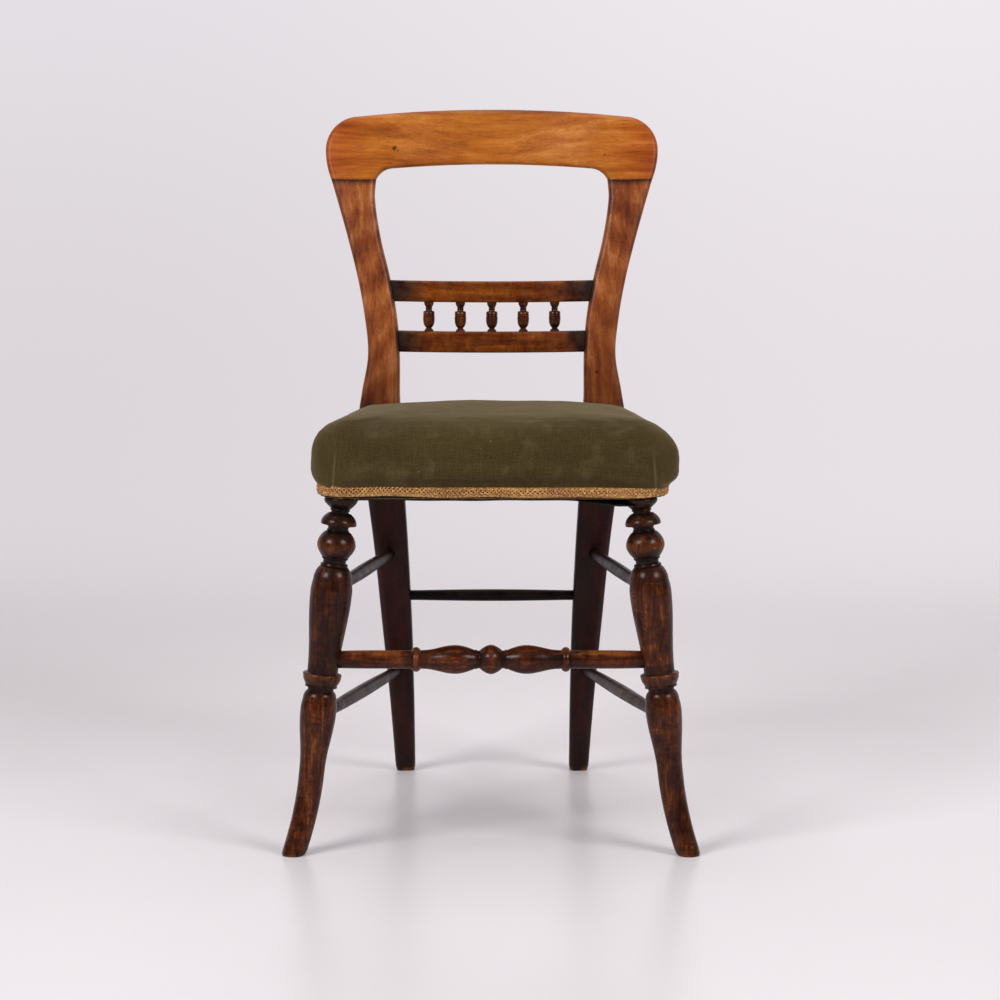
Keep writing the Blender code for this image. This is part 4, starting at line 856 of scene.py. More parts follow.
def rail_values(spot, edge):
    inner = curve_through(INNER_KEYS, spot.z)
    # Painted shade with dirt: recess darkens the ends of the rail where it meets the post.
    return 0.85 * smoothstep(inner - 0.012, inner - 0.001, abs(spot.x)), 0.35 * edge


for level, middle in (("upper", UPPER_RAIL_MIDDLE), ("lower", LOWER_RAIL_MIDDLE)):
    bm = shape_bar(make_bar(0.003, 48), rail_place(middle), rail_values)
    add_piece(f"shaped_{level}_rail", bm, rail_wood, [level + "_cross_rail"])
print("cross rails", RAIL_HEIGHT, "high")

# %% [markdown]
# Five small balusters stand between the cross rails. Each has a cap, a ring, a neck, a barrel with
# two fine scored lines round it, and a flared foot. They lean with the back, so each is sheared
# rather than turned over, which keeps its ends level on the rails.

# %% Turn the five spindles
SPINDLE_PITCH = 0.0398


def spindle_seat(x, middle, up):
    z = middle + up * RAIL_HEIGHT / 2
    share = x / (curve_through(INNER_KEYS, z) - FIT)
    z -= RAIL_DIP * (1 - share**2)
    return Vector((x, rail_depth(z, share), z))


for place in range(5):
    x = (place - 2) * SPINDLE_PITCH
    low, high = spindle_seat(x, LOWER_RAIL_MIDDLE, 1), spindle_seat(x, UPPER_RAIL_MIDDLE, -1)
    clear = high.z - low.z
    barrel = clear - 0.0170
    bm = spin_round(turning(0.0116, (
        (0.0012, 0.0118, "swell"), (0.0010, 0.0098, "cone"), (0.0020, 0.0068, "cove"),
        (barrel * 0.40, 0.0144, "ball"), (barrel * 0.26, 0.0150, "swell"), (0.0005, 0.0128, "cone"),
        (0.0005, 0.0148, "cone"), (barrel * 0.08, 0.0148, "cone"), (0.0005, 0.0128, "cone"),
        (0.0005, 0.0146, "cone"), (barrel * 0.12, 0.0140, "swell"), (0.0012, 0.0080, "swell"),
        (0.0014, 0.0076, "cone"), (0.0006, 0.0094, "swell"), (0.0006, 0.0078, "cone"),
        (0.0014, 0.0078, "cone"), (0.0052, 0.0122, "swell"), (0.0010, 0.0124, "cone"),
    ), 0.0007), 28)
    scale = clear / max(v.co.z for v in bm.verts)
    for vert in bm.verts:
        middle = low.lerp(high, vert.co.z * scale / clear)
        vert.co = Vector((middle.x + vert.co.x, middle.y + vert.co.y, middle.z))
    add_piece(f"turned_spindle_{place + 1}", bm, turned_wood,
              [f"spindle_{place + 1}"])
print("spindles", round(clear, 4), "m long")


# %% [markdown]
# Two plain rods on each side run from the front leg to the rear one, and one joins the rear legs.

# %% Turn the plain rods
SIDE_ROD_HEIGHTS = (("upper", 0.3045, 0.2980), ("lower", 0.1585, 0.1420))
REAR_ROD_HEIGHT = 0.2416
ROD_SOCKET_DEPTH = 0.006
ROD_STRAIGHT = 0.024


def post_middle(z):
    x = (curve_through(OUTER_KEYS, z) + curve_through(INNER_KEYS, z)) / 2
    return Vector((x, SET_BACK + post_face(z) + post_thickness(z) / 2, z))


def add_rod(name, start, end, middle_diameter, end_diameter, finish, replaced):
    """A rod whose hidden ends stop a little inside the wood that they enter."""
    inset = ROD_SOCKET_DEPTH * (end - start).normalized()
    start, end = start + inset, end - inset
    length = (end - start).length
    straight, rest = (ROD_STRAIGHT, end_diameter, "cone"), length / 2 - ROD_STRAIGHT
    outline = turning(end_diameter, (straight, (rest, middle_diameter, "swell"),
                                     (rest, end_diameter, "swell"), straight), 0.006)
    bm = lay_between(spin_round(outline, 24), start, end)
    recess, worn = bm.verts.layers.float["recess"], bm.verts.layers.float["worn"]
    for vert in bm.verts:
        near_end = min((vert.co - start).length, (vert.co - end).length)
        # Painted shade where the rod goes into the leg or post: recess rises towards each end.
        vert[recess] = smoothstep(0.030, 0.010, near_end)
        # Painted highlight: the upper half of the rod takes the pale rubbed tone, for light along its top.
        vert[worn] = 0.35 * (vert.co.z > (start.z + end.z) / 2)
    return add_piece(name, bm, finish, [replaced])


for side, side_name in ((-1, "left"), (1, "right")):
    for level, front, rear in SIDE_ROD_HEIGHTS:
        back = post_middle(rear)
        add_rod(f"plain_{level}_rod_{side_name}", leg_middle(front, side),
                Vector((side * back.x, back.y, back.z)), 0.0165, 0.0125, rod_wood,
                f"side_stretcher_{level}_{side_name}")
back = post_middle(REAR_ROD_HEIGHT)
add_rod("plain_rear_rod", Vector((-back.x, back.y, back.z)), back, 0.0152, 0.0128, cross_rod_wood,
        "rear_stretcher")

# %% [markdown]
# The seat is stuffed over: the velvet runs over a domed pad of hair with a firm rolled edge, down
# over the rails, and is tacked along their lower edge. Its plan is a trapezium with two round front
# corners, and every ring of the pad is that plan drawn in or out a little.

# %% The plan of the seat
FRONT_HALF_WIDTH = 0.199
REAR_HALF_WIDTH = 0.160
REAR_RAIL_THICKNESS = 0.024
SEAT_CORNER_RADIUS = 0.040
REAR_CORNER_RADIUS = 0.014
ROLL_OVERHANG = 0.0100
COVER_THICKNESS = 0.0024
PAD_CLEARANCE = 0.0008
SEAT_MIDDLE = FRONT_FACE / 2


def seat_half_width(y):
    return mix(REAR_HALF_WIDTH, FRONT_HALF_WIDTH, y / FRONT_FACE)


def right_half_plan():
    """Points and outward directions from the middle of the front round to the middle of the back."""
    taper = math.atan2(FRONT_HALF_WIDTH - REAR_HALF_WIDTH, -FRONT_FACE)
    front_y, rear_y = FRONT_FACE + SEAT_CORNER_RADIUS, REAR_RAIL_THICKNESS - REAR_CORNER_RADIUS
    front_x = seat_half_width(front_y) - SEAT_CORNER_RADIUS / math.cos(taper)
    rear_x = seat_half_width(rear_y) - REAR_CORNER_RADIUS / math.cos(taper)
    plan = [(Vector((front_x * i / 16, FRONT_FACE)), -math.pi / 2) for i in range(16)]
    for i in range(21):
        angle = mix(-math.pi / 2, taper, i / 20)
        plan.append((Vector((front_x, front_y)) + SEAT_CORNER_RADIUS * arrow(angle), angle))
    start, end = plan[-1][0], Vector((rear_x, rear_y)) + REAR_CORNER_RADIUS * arrow(taper)
    plan += [(start.lerp(end, i / 24), taper) for i in range(1, 24)]
    for i in range(7):
        angle = mix(taper, math.pi / 2, i / 6)
        plan.append((Vector((rear_x, rear_y)) + REAR_CORNER_RADIUS * arrow(angle), angle))
    back = [Vector((rear_x * (12 - i) / 12, REAR_RAIL_THICKNESS)) for i in range(1, 13)]
    return plan + [(point, math.pi / 2) for point in back]


def arrow(angle):
    return Vector((math.cos(angle), math.sin(angle)))


def seat_outline(out=0.0, overhang=0.0):
    """The plan grown outwards; an overhang fades to a third of itself at the back."""
    right = right_half_plan()
    left = [(Vector((-p.x, p.y)), math.pi - angle) for p, angle in reversed(right[1:-1])]
    return [p + arrow(angle) * (out + overhang * mix(1.0, 0.35, smoothstep(SEAT_MIDDLE, 0, p.y)))
            for p, angle in right + left]


# %% [markdown]
# The pad starts as a stack of rings bridged into a closed form, a millimetre or so too small. Two
# blocks cut it away round the posts, as the upholsterer cuts the stuffing to fit them. Each row of
# ROLL is a share of the overhang, a height over the rail's underside and a share of the edge's lift.

# %% The starting shape of the pad
CROWN_RISE = 0.0505
SEAT_REAR_DROP = 0.014
START_SHRINK = 0.0014
RIGHT_BULGE = 0.0104
RIGHT_HEM = 0.0040
EDGE_LIFT = 0.0032
ROLL = ((0.06, 0.0135, 0), (0.26, 0.0165, 0), (0.54, 0.0210, -0.4), (0.80, 0.0270, -0.4),
        (0.95, 0.0340, 0), (1.02, 0.0420, 0), (0.97, 0.0530, 0.3), (0.70, 0.0628, 0.7),
        (0.15, 0.0722, 0.9), (-0.80, 0.0796, 1), (-2.30, 0.0846, 1))


def bulge_right(x, rise):
    """The pad is stuffed fuller on its right, so it leans out over the rail on that side."""
    out = mix(RIGHT_HEM, RIGHT_BULGE, smoothstep(0.006, 0.024, rise))
    return smoothstep(-0.17, 0.20, x) * mix(out, 0.0015, smoothstep(0.045, 0.085, rise))


def pad_ring(out, overhang, rise, scale=1.0):
    """A ring of the pad at a height over the rail's underside, lower towards the back."""
    z = RAIL_UNDERSIDE + rise
    lowered = min(1.0, max(0.0, z - RAIL_TOP) / 0.03) * SEAT_REAR_DROP
    centre = Vector((0, SEAT_MIDDLE))
    ring = []
    for point in seat_outline(out, overhang):
        spot = centre.lerp(point, scale)
        drop = lowered * smoothstep(SEAT_MIDDLE, REAR_RAIL_THICKNESS, spot.y)
        ring.append(Vector((spot.x + bulge_right(spot.x, rise), spot.y + SET_BACK, z - drop)))
    return ring


def pad_levels(shrink):
    skin = 2 * FIT + PAD_CLEARANCE + COVER_THICKNESS
    levels = [pad_ring(FIT + COVER_THICKNESS, 0, 0.0004), pad_ring(FIT + COVER_THICKNESS, 0, 0.0102)]
    for row, (share, rise, up) in enumerate(ROLL):
        less = shrink * min(1.0, row / 5)
        height = rise + EDGE_LIFT * up - less * max(0, up)
        levels.append(pad_ring(skin - less, share * ROLL_OVERHANG, height))
    share, edge, _ = ROLL[-1]
    top = RAIL_TOP - RAIL_UNDERSIDE + CROWN_RISE + EDGE_LIFT - shrink
    for scale in (0.90, 0.78, 0.64, 0.50, 0.36, 0.22, 0.08):
        rise = mix(top, edge + EDGE_LIFT - shrink, scale**2)
        levels.append(pad_ring(skin - shrink, share * ROLL_OVERHANG, rise, scale))
    return levels


def bridged(rings):
    """A closed form over rings of points, each bridged to the next."""
    bm = bmesh.new()
    loops = []
    for ring in rings:
        verts = [bm.verts.new(point) for point in ring]
        loops.append([bm.edges.new((a, b)) for a, b in zip(verts, verts[1:] + verts[:1])])
    for low, high in zip(loops, loops[1:]):
        bmesh.ops.bridge_loops(bm, edges=low + high)
    bmesh.ops.holes_fill(bm, edges=[edge for edge in bm.edges if edge.is_boundary])
    bmesh.ops.recalc_face_normals(bm, faces=bm.faces)
    return bm


def finished_mesh(made):
    """The mesh with its modifiers applied; the object that carried them is removed."""
    depsgraph = bpy.context.evaluated_depsgraph_get()
    mesh = bpy.data.meshes.new_from_object(made.evaluated_get(depsgraph))
    bpy.data.objects.remove(made)
    return mesh


def cut_away(mesh, cutter_bm):
    body = placed("cutting", mesh)
    cutter = placed("cutting_tool", as_mesh("cutting_tool", cutter_bm))
    step = body.modifiers.new("cut", "BOOLEAN")
    step.operation, step.solver, step.object = "DIFFERENCE", "EXACT", cutter
    cut = finished_mesh(body)
    bpy.data.objects.remove(cutter)
    return cut


def post_block(clearance, side):
    """A block that follows the front and inner faces of a post, to cut the pad to fit it."""
    bm = make_bar(0.001, 12)
    for vert in bm.verts:
        z = mix(RAIL_UNDERSIDE - 0.03, SHOULDER_HEIGHT + 0.06, vert.co.z)
        x = curve_through(INNER_KEYS, z) - clearance if vert.co.x < 0 else 0.30
        y = post_face(z) - clearance if vert.co.y < 0 else 0.15
        vert.co = Vector((side * x, SET_BACK + y, z))
    bmesh.ops.recalc_face_normals(bm, faces=bm.faces)
    return bm


pad_mesh = as_mesh("pad_start", bridged(pad_levels(START_SHRINK)))
for side in (-1, 1):
    pad_mesh = cut_away(pad_mesh, post_block(0.0010, side))
print("pad starts with", len(pad_mesh.polygons), "faces")


# %% [markdown]
# Stuffing pushes the cover out evenly from inside, which is what cloth simulation with pressure does.
# The pad is remeshed into even squares, its tacked edges are pinned, and it is blown up for twenty
# frames with gravity off. No point may move further than a cap, so the seat keeps its outline.

# %% Blow up the pad
PAD_VOXEL = 0.0045
PAD_CAP = 0.0024
BLOWING_FRAMES = 20


def near_posts(point):
    """How close a point of the pad is to the notches cut for the posts, from 0 to 1."""
    y = point.y - SET_BACK - post_face(point.z)
    x = abs(point.x) - curve_through(INNER_KEYS, point.z)
    gap = math.hypot(max(0.0, -x), max(0.0, -y)) if x < 0 or y < 0 else 0.0
    return smoothstep(0.016, 0.003, gap)


def inflated(mesh):
    pad = placed("pad_blowing", mesh)
    remesh = pad.modifiers.new("even squares", "REMESH")
    remesh.mode, remesh.voxel_size = "VOXEL", PAD_VOXEL
    mesh = finished_mesh(pad)
    pad = placed("pad_blowing", mesh)
    before = [v.co.copy() for v in mesh.vertices]
    held = pad.vertex_groups.new(name="tacked")
    for v in mesh.vertices:
        low = smoothstep(RAIL_UNDERSIDE + 0.024, RAIL_UNDERSIDE + 0.014, v.co.z)
        held.add([v.index], max(low, near_posts(v.co)), "REPLACE")
    cloth = pad.modifiers.new("blow up", "CLOTH")
    cover = cloth.settings
    cover.quality, cover.mass = 6, 0.3
    cover.tension_stiffness = cover.compression_stiffness = 18
    cover.shear_stiffness, cover.bending_stiffness = 8, 2.0
    cover.use_pressure, cover.uniform_pressure_force = True, 4
    cover.vertex_group_mass = "tacked"
    cover.effector_weights.gravity = 0
    cloth.point_cache.frame_start, cloth.point_cache.frame_end = 1, BLOWING_FRAMES
    for step in range(1, BLOWING_FRAMES + 1):
        bpy.context.scene.frame_set(step)
    mesh = finished_mesh(pad)
    bpy.context.scene.frame_set(1)
    for v, start in zip(mesh.vertices, before):
        moved = v.co - start
        if moved.length > PAD_CAP:
            v.co = start + moved * (PAD_CAP / moved.length)
    print("pad swelled by up to", round(max((v.co - s).length for v, s in zip(mesh.vertices, before)), 4))
    return mesh


pad_mesh = inflated(pad_mesh)
print("pad remeshed to", len(pad_mesh.polygons), "faces")


# %% [markdown]
# After blowing up, one round of subdivision smooths the pad. Only now come the small things that
# remeshing would have lost: the two pleats where the velvet is folded round the front corners, and
# the unevenness of hand stuffing.

# %% Pleats, dimples and unevenness
PLEATS = (-0.1785, 0.1865)
PLEAT_DEPTH = 0.05


def pleat_at(point, x):
    """Depth of a corner pleat at a point: a sharp fold with a fuller lip on its outer side."""
    lean = (point.z - RAIL_UNDERSIDE - 0.025) * 0.10 * math.copysign(1, x)
    across = point.x - x + lean
    if point.y - SET_BACK > FRONT_FACE + PLEAT_DEPTH:
        return 0.0, 0.0
    rise = point.z - RAIL_UNDERSIDE
    length = smoothstep(0.008, 0.014, rise) * smoothstep(0.062, 0.030, rise)
    fold = math.exp(-((across / 0.0011) ** 2)) * length
    lip = math.exp(-(((across - math.copysign(0.0042, x)) / 0.0034) ** 2)) * length
    return fold, lip


def finish_pad(mesh):
    bm = bmesh.new()
    bm.from_mesh(mesh)
    bmesh.ops.subdivide_edges(bm, edges=bm.edges, cuts=1, smooth=1.0, use_grid_fill=True)
    for _ in range(2):
        bmesh.ops.smooth_vert(bm, verts=[v for v in bm.verts if v.co.z > RAIL_UNDERSIDE + 0.006],
                              factor=0.5, use_axis_x=True, use_axis_y=True, use_axis_z=True)
    for _ in range(2):
        fine = [e for e in bm.edges if e.calc_length() > 0.0008 and any(
            abs(e.verts[0].co.x - x) < 0.012 and e.verts[0].co.y < SET_BACK + FRONT_FACE + PLEAT_DEPTH
            and e.verts[0].co.z < RAIL_UNDERSIDE + 0.065 for x in PLEATS)]
        bmesh.ops.subdivide_edges(bm, edges=fine, cuts=1, use_grid_fill=True)
    bm.normal_update()
    # The fold of each pleat is kept as a mask for its painted highlight.
    pleat_highlight = bm.verts.layers.float.new("pleat_highlight")
    for vert in bm.verts:
        push = 0.0
        for x in PLEATS:
            fold, lip = pleat_at(vert.co, x)
            push += 0.0007 * lip - 0.0012 * fold
            vert[pleat_highlight] = max(vert[pleat_highlight], fold)
        free = smoothstep(0.024, 0.045, vert.co.z - RAIL_UNDERSIDE) * (1 - near_posts(vert.co))
        push += free * (0.0011 * noise.noise(vert.co * 17) + 0.0005 * noise.noise(vert.co * 46))
        vert.co += vert.normal * push
    return bm


pad_mesh = as_mesh("pad_finished", finish_pad(pad_mesh))
CANVAS_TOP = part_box("hessian")[1].z
lining = seat_outline(FIT)
under_pad = bridged([[Vector((p.x, p.y + SET_BACK, z)) for p in lining]
                     for z in (RAIL_UNDERSIDE - 0.02, CANVAS_TOP + FIT)])
pad_mesh = cut_away(pad_mesh, under_pad)
print("pad finished with", len(pad_mesh.polygons), "faces")


# %% [markdown]
# Velvet is a pile of short upright threads. Seen edge on, the threads catch the light and the cloth
# looks paler, which the sheen of the shader gives; where the pile is rubbed or lies the other way it
# turns darker. The base is an olive brown, clouded by wear, with lint and a faint weave.

# %% The velvet
def velvet_finish():
    finish, tree, shader, place = new_finish("olive_velvet_pile")
    nap = cloudy(tree, place, 7, 2, 0.5, 0.4)
    colour = graded(tree, nap, ((0.30, "#3c3015"), (0.46, "#44371a"), (0.58, "#4b3e20"), (0.74, "#544627")))
    pile = cloudy(tree, place, 1100, 3, 0.6)
    colour = blended(tree, ranged(tree, pile, 0.35, 0.7, 0.0, 0.6), colour, "#33290f", "MULTIPLY")
    for thread in ((1, 0.05, 0.05), (0.06, 1, 1)):
        line = cloudy(tree, stretched(tree, place, thread), 1000, 2, 0.5)
        colour = blended(tree, ranged(tree, line, 0.40, 0.70, 0, 0.10), colour, "#6e6040")
    shade = cloudy(tree, place, 32, 4, 0.6, 0.5)
    colour = blended(tree, ranged(tree, shade, 0.50, 0.72, 0, 0.14), colour, "#7a6c4c")
    lint = node(tree, "TexVoronoi", feature="F1")
    feed(tree, lint.inputs["Vector"], place)
    adjust(lint, Scale=75)
    specks = times(tree, ranged(tree, lint.outputs["Distance"], 0.045, 0.075, 1, 0),
                   ranged(tree, cloudy(tree, place, 30, 2), 0.52, 0.62))
    colour = blended(tree, times(tree, specks, 0.45), colour, "#a49a86")
    # Painted highlight: the pleat folds are lightened.
    colour = blended(tree, times(tree, attribute(tree, "pleat_highlight"), 0.35), colour, "#8a7c58")
    # Painted shade with dirt: the velvet's lowest strip, under the braid, is darkened.
    hem_shade_and_dirt = ranged(tree, measured(tree, place, "Z"), RAIL_UNDERSIDE + 0.009, RAIL_UNDERSIDE + 0.006, 0, 0.85)
    colour = blended(tree, hem_shade_and_dirt, colour, "#17110c")
    feed(tree, shader.inputs["Base Color"], colour)
    adjust(shader, Roughness=0.95, Specular_IOR_Level=0.12, Sheen_Weight=0.34, Sheen_Roughness=0.40,
           Sheen_Tint="#dcc8a4")
    bumped(tree, shader, pile, 0.3, 0.0005)
    return finish


velvet = velvet_finish()
bm = bmesh.new()
bm.from_mesh(pad_mesh)
seat = add_piece("velvet_seat", bm, velvet, ["velvet_cover", "seat_stuffing"], 60)
print("seat top at", round(max(v.co.z for v in seat.data.vertices), 4))


# %% [markdown]
# The tacks are hidden by gimp, a narrow woven braid glued on. It has a looped row above, a chain of
# crossing cords in its middle, and a row of stitches below. Each cord is a curve with a round
# section, laid along the outline of the seat, and all the cords are joined over a thin ribbon.

# %% Gimp braid
GIMP_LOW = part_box("gimp_braid_front")[0].z
GIMP_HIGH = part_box("gimp_braid_front")[1].z
GIMP_START = 2 * FIT + COVER_THICKNESS


def even_steps(points, step):
    """Points at even steps along a line of points, each with the distance travelled to it."""
    travelled = travelled_along(points)
    count = round(travelled[-1] / step)
    walked, i = [], 0
    for k in range(count + 1):
        at = travelled[-1] * k / count
        while i < len(points) - 2 and travelled[i + 1] < at:
            i += 1
        share = (at - travelled[i]) / (travelled[i + 1] - travelled[i])
        walked.append((at, points[i].lerp(points[i + 1], share)))
    return walked


def braid_line(rear):
    """The line that the braid follows in plan: across the back, or from post to post round the front."""
    if rear:
        half = curve_through(INNER_KEYS, GIMP_LOW) - 0.0012
        y = REAR_RAIL_THICKNESS + GIMP_START
        return [Vector((half, y)), Vector((0, y)), Vector((-half, y))]
    right = [p + arrow(angle) * GIMP_START for p, angle in right_half_plan() if p.y < -0.002]
    return [Vector((-p.x, p.y)) for p in reversed(right[1:])] + right


GIMP_WANDER = ((-0.30, 0.0), (-0.20, 0.0008), (-0.165, 0.0034), (-0.134, 0.0048), (-0.119, 0.0050),
               (-0.102, 0.0040), (-0.068, 0.0022), (-0.045, 0.0013), (0.011, 0.0014), (0.080, 0.0008),
               (0.148, 0.0002), (0.176, -0.0006), (0.205, 0.0012), (0.30, 0.0))


def braid_cord(line, wave, step=0.0009):
    """Points of one cord: wave gives how far it stands out and its height at a distance."""
    steps = even_steps(line, step)
    points = []
    for k, (at, spot) in enumerate(steps):
        ahead = steps[min(k + 1, len(steps) - 1)][1] - steps[max(k - 1, 0)][1]
        outward = Vector((ahead.y, -ahead.x)).normalized()
        out, height = wave(at)
        in_front = smoothstep(FRONT_FACE + 0.09, FRONT_FACE + 0.01, spot.y)
        share = mix(0.35, 1.0, height / (GIMP_HIGH - GIMP_LOW))
        wander = 0.0004 * math.sin(at * 61) + share * curve_through(GIMP_WANDER, spot.x) * in_front
        spot = spot + outward * out
        spot.x += bulge_right(spot.x, 0.0)
        points.append(Vector((spot.x, spot.y + SET_BACK, GIMP_LOW + 1.16 * height + wander)))
    return points


def corded(lines, radius, sides=0):
    """A mesh of round cords along lines of points."""
    curve = bpy.data.curves.new("cords", "CURVE")
    curve.dimensions, curve.bevel_depth, curve.bevel_resolution = "3D", radius, sides
    curve.use_fill_caps = True
    for line in lines:
        spline = curve.splines.new("POLY")
        spline.points.add(len(line) - 1)
        for point, spot in zip(spline.points, line):
            point.co = (*spot, 1)
    mesh = finished_mesh(placed("cords", curve))
    bpy.data.curves.remove(curve)
    return mesh


def plaited(number):
    """One of the three cords of the plait in the braid's middle."""
    def wave(at):
        turn = 2 * math.pi * (at / 0.0142 + number / 3) + 0.7 * math.sin(at * 90)
        return 0.0011 + 0.0006 * math.sin(2 * turn), 0.0053 + 0.0021 * math.sin(turn)
    return wave


def loop_row(pitch, middle, swing, phase=0.0):
    def wave(at):
        turn = 2 * math.pi * at / pitch + phase
        return 0.0009 + 0.0004 * math.cos(turn), middle + swing * math.sin(turn)
    return wave


def make_gimp(name, line, replaced):
    bm = bmesh.new()
    cords = [(plaited(number), 0.00095, 0.0011, 1) for number in range(3)]
    cords += [(loop_row(0.0034, 0.0092, 0.0009, phase), 0.00060, 0.00045, 0) for phase in (0, math.pi)]
    cords += [(loop_row(0.0034, 0.0012, 0.0007, phase), 0.00055, 0.00055, 0) for phase in (0, math.pi)]
    cords += [(loop_row(0.0060, 0.0080, 0.0002), 0.00060, 0.0018, 0),
              (loop_row(0.0050, 0.0024, 0.0003), 0.00060, 0.0018, 0)]
    row = bm.verts.layers.float.new("row")
    for number, (wave, radius, step, sides) in enumerate(cords):
        known = set(bm.verts)
        mesh = corded([braid_cord(line, wave, step)], radius, sides)
        bm.from_mesh(mesh)
        for vert in bm.verts:
            if vert not in known:
                vert[row] = number / 20
    # The ribbon behind the cords is coloured dark: painted shade in the gaps between them.
    ribbon = [braid_cord(line, lambda at, h=h: (0.0002, h), 0.004) for h in (0.0006, 0.0096)]
    for low, low_next, high, high_next in zip(ribbon[0], ribbon[0][1:], ribbon[1], ribbon[1][1:]):
        face = bm.faces.new([bm.verts.new(p) for p in (low, low_next, high_next, high)])
        for vert in face.verts:
            vert[row] = 1.0
    return add_piece(name, bm, gimp_thread, [replaced], 80, merge=False)


def gimp_finish():
    finish, tree, shader, place = new_finish("tan_gimp_thread")
    thread = cloudy(tree, place, 1400, 2, 0.6)
    soiled = cloudy(tree, place, 28, 4, 0.6)
    colour = graded(tree, thread, ((0.3, "#9c6a2c"), (0.5, "#c8944a"), (0.7, "#e6ba74")))
    colour = blended(tree, ranged(tree, soiled, 0.4, 0.66, 0, 0.7), colour, "#a87c50", "MULTIPLY")
    worn = cloudy(tree, place, 420, 3, 0.6)
    colour = blended(tree, ranged(tree, worn, 0.54, 0.40, 0, 0.75), colour, "#84501e")
    colour = blended(tree, ranged(tree, worn, 0.53, 0.63, 0, 0.6), colour, "#f0ca86")
    row = attribute(tree, "row")
    darker = ranged(tree, row, 0.06, 0.04, 0, 0.45)
    colour = blended(tree, darker, colour, "#9c5c2a")
    # Painted shade: the ribbon between the cords is dark brown.
    colour = blended(tree, ranged(tree, row, 0.85, 0.95), colour, "#4a2410")
    feed(tree, shader.inputs["Base Color"], colour)
    adjust(shader, Roughness=0.75, Sheen_Weight=0.2)
    bumped(tree, shader, thread, 0.5, 0.0004)
    return finish


gimp_thread = gimp_finish()
front_gimp = make_gimp("gimp_round_front", braid_line(False), "gimp_braid_front")
rear_gimp = make_gimp("gimp_across_back", braid_line(True), "gimp_braid_rear")
print("gimp", len(front_gimp.data.polygons), "and", len(rear_gimp.data.polygons), "faces")


# %% [markdown]
# A black cloth is tacked under the seat to catch dust. It has sagged with age, and shows as a thin
# dark line below the braid. It is one sheet, cut round the posts and the tops of the front legs.

# %% The cloth under the seat
CLOTH_INSET = 0.006
LEG_CLEARANCE = 0.0006


def cloth_half_width(y):
    """Half the cloth's width at a depth: the seat's plan drawn in, and narrower between the posts."""
    if y > -CLOTH_INSET:
        return min(curve_through(INNER_KEYS, z) for z in (RAIL_UNDERSIDE, RAIL_TOP)) - CLOTH_INSET
    rim = [p - arrow(angle) * CLOTH_INSET for p, angle in right_half_plan()]
    for a, b in zip(rim, rim[1:]):
        if a.y <= y <= b.y and b.y > a.y:
            return mix(a.x, b.x, (y - a.y) / (b.y - a.y))
    return rim[15].x


def cloth_sag(x, y):
    """How far the cloth hangs below the rails: most in its middle and at its loose front right edge."""
    along = (y - FRONT_FACE) / (REAR_RAIL_THICKNESS - FRONT_FACE)
    belly = 0.0075 * max(0.0, math.sin(math.pi * along)) * max(0.0, math.cos(math.pi / 2 * x / 0.2))
    loose = smoothstep(0.085, 0.150, x) * smoothstep(0.205, 0.175, x)
    front = smoothstep(0.22, 0.0, along) * (0.0013 + 0.0070 * loose)
    return belly + front + 0.0010 * noise.noise(Vector((x * 22, y * 22, 0)))


bm = bmesh.new()
bmesh.ops.create_grid(bm, x_segments=56, y_segments=60, size=1)
front_edge, rear_edge = FRONT_FACE + CLOTH_INSET, REAR_RAIL_THICKNESS - CLOTH_INSET
for vert in bm.verts:
    y = mix(front_edge, rear_edge, (vert.co.y + 1) / 2)
    x = vert.co.x * cloth_half_width(y)
    vert.co = Vector((x, y + SET_BACK, RAIL_UNDERSIDE - 2 * FIT - abs(cloth_sag(x, y))))
cup = [(distance, radius) for distance, radius in leg_outline() if distance < 0.0125]
inside = {}
for vert in bm.verts:
    middle = leg_middle(vert.co.z, math.copysign(1, vert.co.x))
    away = Vector((vert.co.x - middle.x, vert.co.y - middle.y))
    hole = max(r for d, r in cup if d > min(RAIL_UNDERSIDE - vert.co.z, 0.0120) - 0.0012) + LEG_CLEARANCE
    inside[vert] = away.length < hole
    if inside[vert]:
        vert.co.x, vert.co.y = Vector((middle.x, middle.y)) + away.normalized() * hole
bmesh.ops.delete(bm, geom=[f for f in bm.faces if all(inside[v] for v in f.verts)], context="FACES")
cloth_area = sum(f.calc_area() for f in bm.faces)


def plain_weave(name, tones, thread, rough=0.9, sheen=0.1):
    """Plain cloth: two sets of threads as crossing waves, with uneven threads and soiled patches."""
    finish, tree, shader, place = new_finish(name)
    waves = []
    for axis in ("X", "Y"):
        wave = node(tree, "TexWave", wave_type="BANDS", bands_direction=axis)
        feed(tree, wave.inputs["Vector"], place)
        adjust(wave, Scale=thread, Distortion=0.6)
        waves.append(wave.outputs["Fac"])
    weave = times(tree, *waves)
    uneven = plus(tree, times(tree, weave, 0.6), cloudy(tree, place, 60, 4, 0.6))
    colour = graded(tree, uneven, list(zip((0.35, 0.65, 0.95), tones)))
    patches = ranged(tree, cloudy(tree, place, 11, 3), 0.42, 0.66, 0, 0.6)
    colour = blended(tree, patches, colour, "#9a8a78", "MULTIPLY")
    feed(tree, shader.inputs["Base Color"], colour)
    adjust(shader, Roughness=rough, Sheen_Weight=sheen)
    bumped(tree, shader, weave, 0.6, 0.0005)
    return finish


lining_cloth = plain_weave("black_bottom_cloth", ("#0c0b0c", "#191719", "#282528"), 380)
under = add_piece("black_bottom_cloth", bm, lining_cloth, ["bottom_cloth"], 60)
thick = under.modifiers.new("thickness", "SOLIDIFY")
thick.thickness, thick.offset = 0.0005, 0
print("cloth area", round(cloth_area, 4), "square metres")

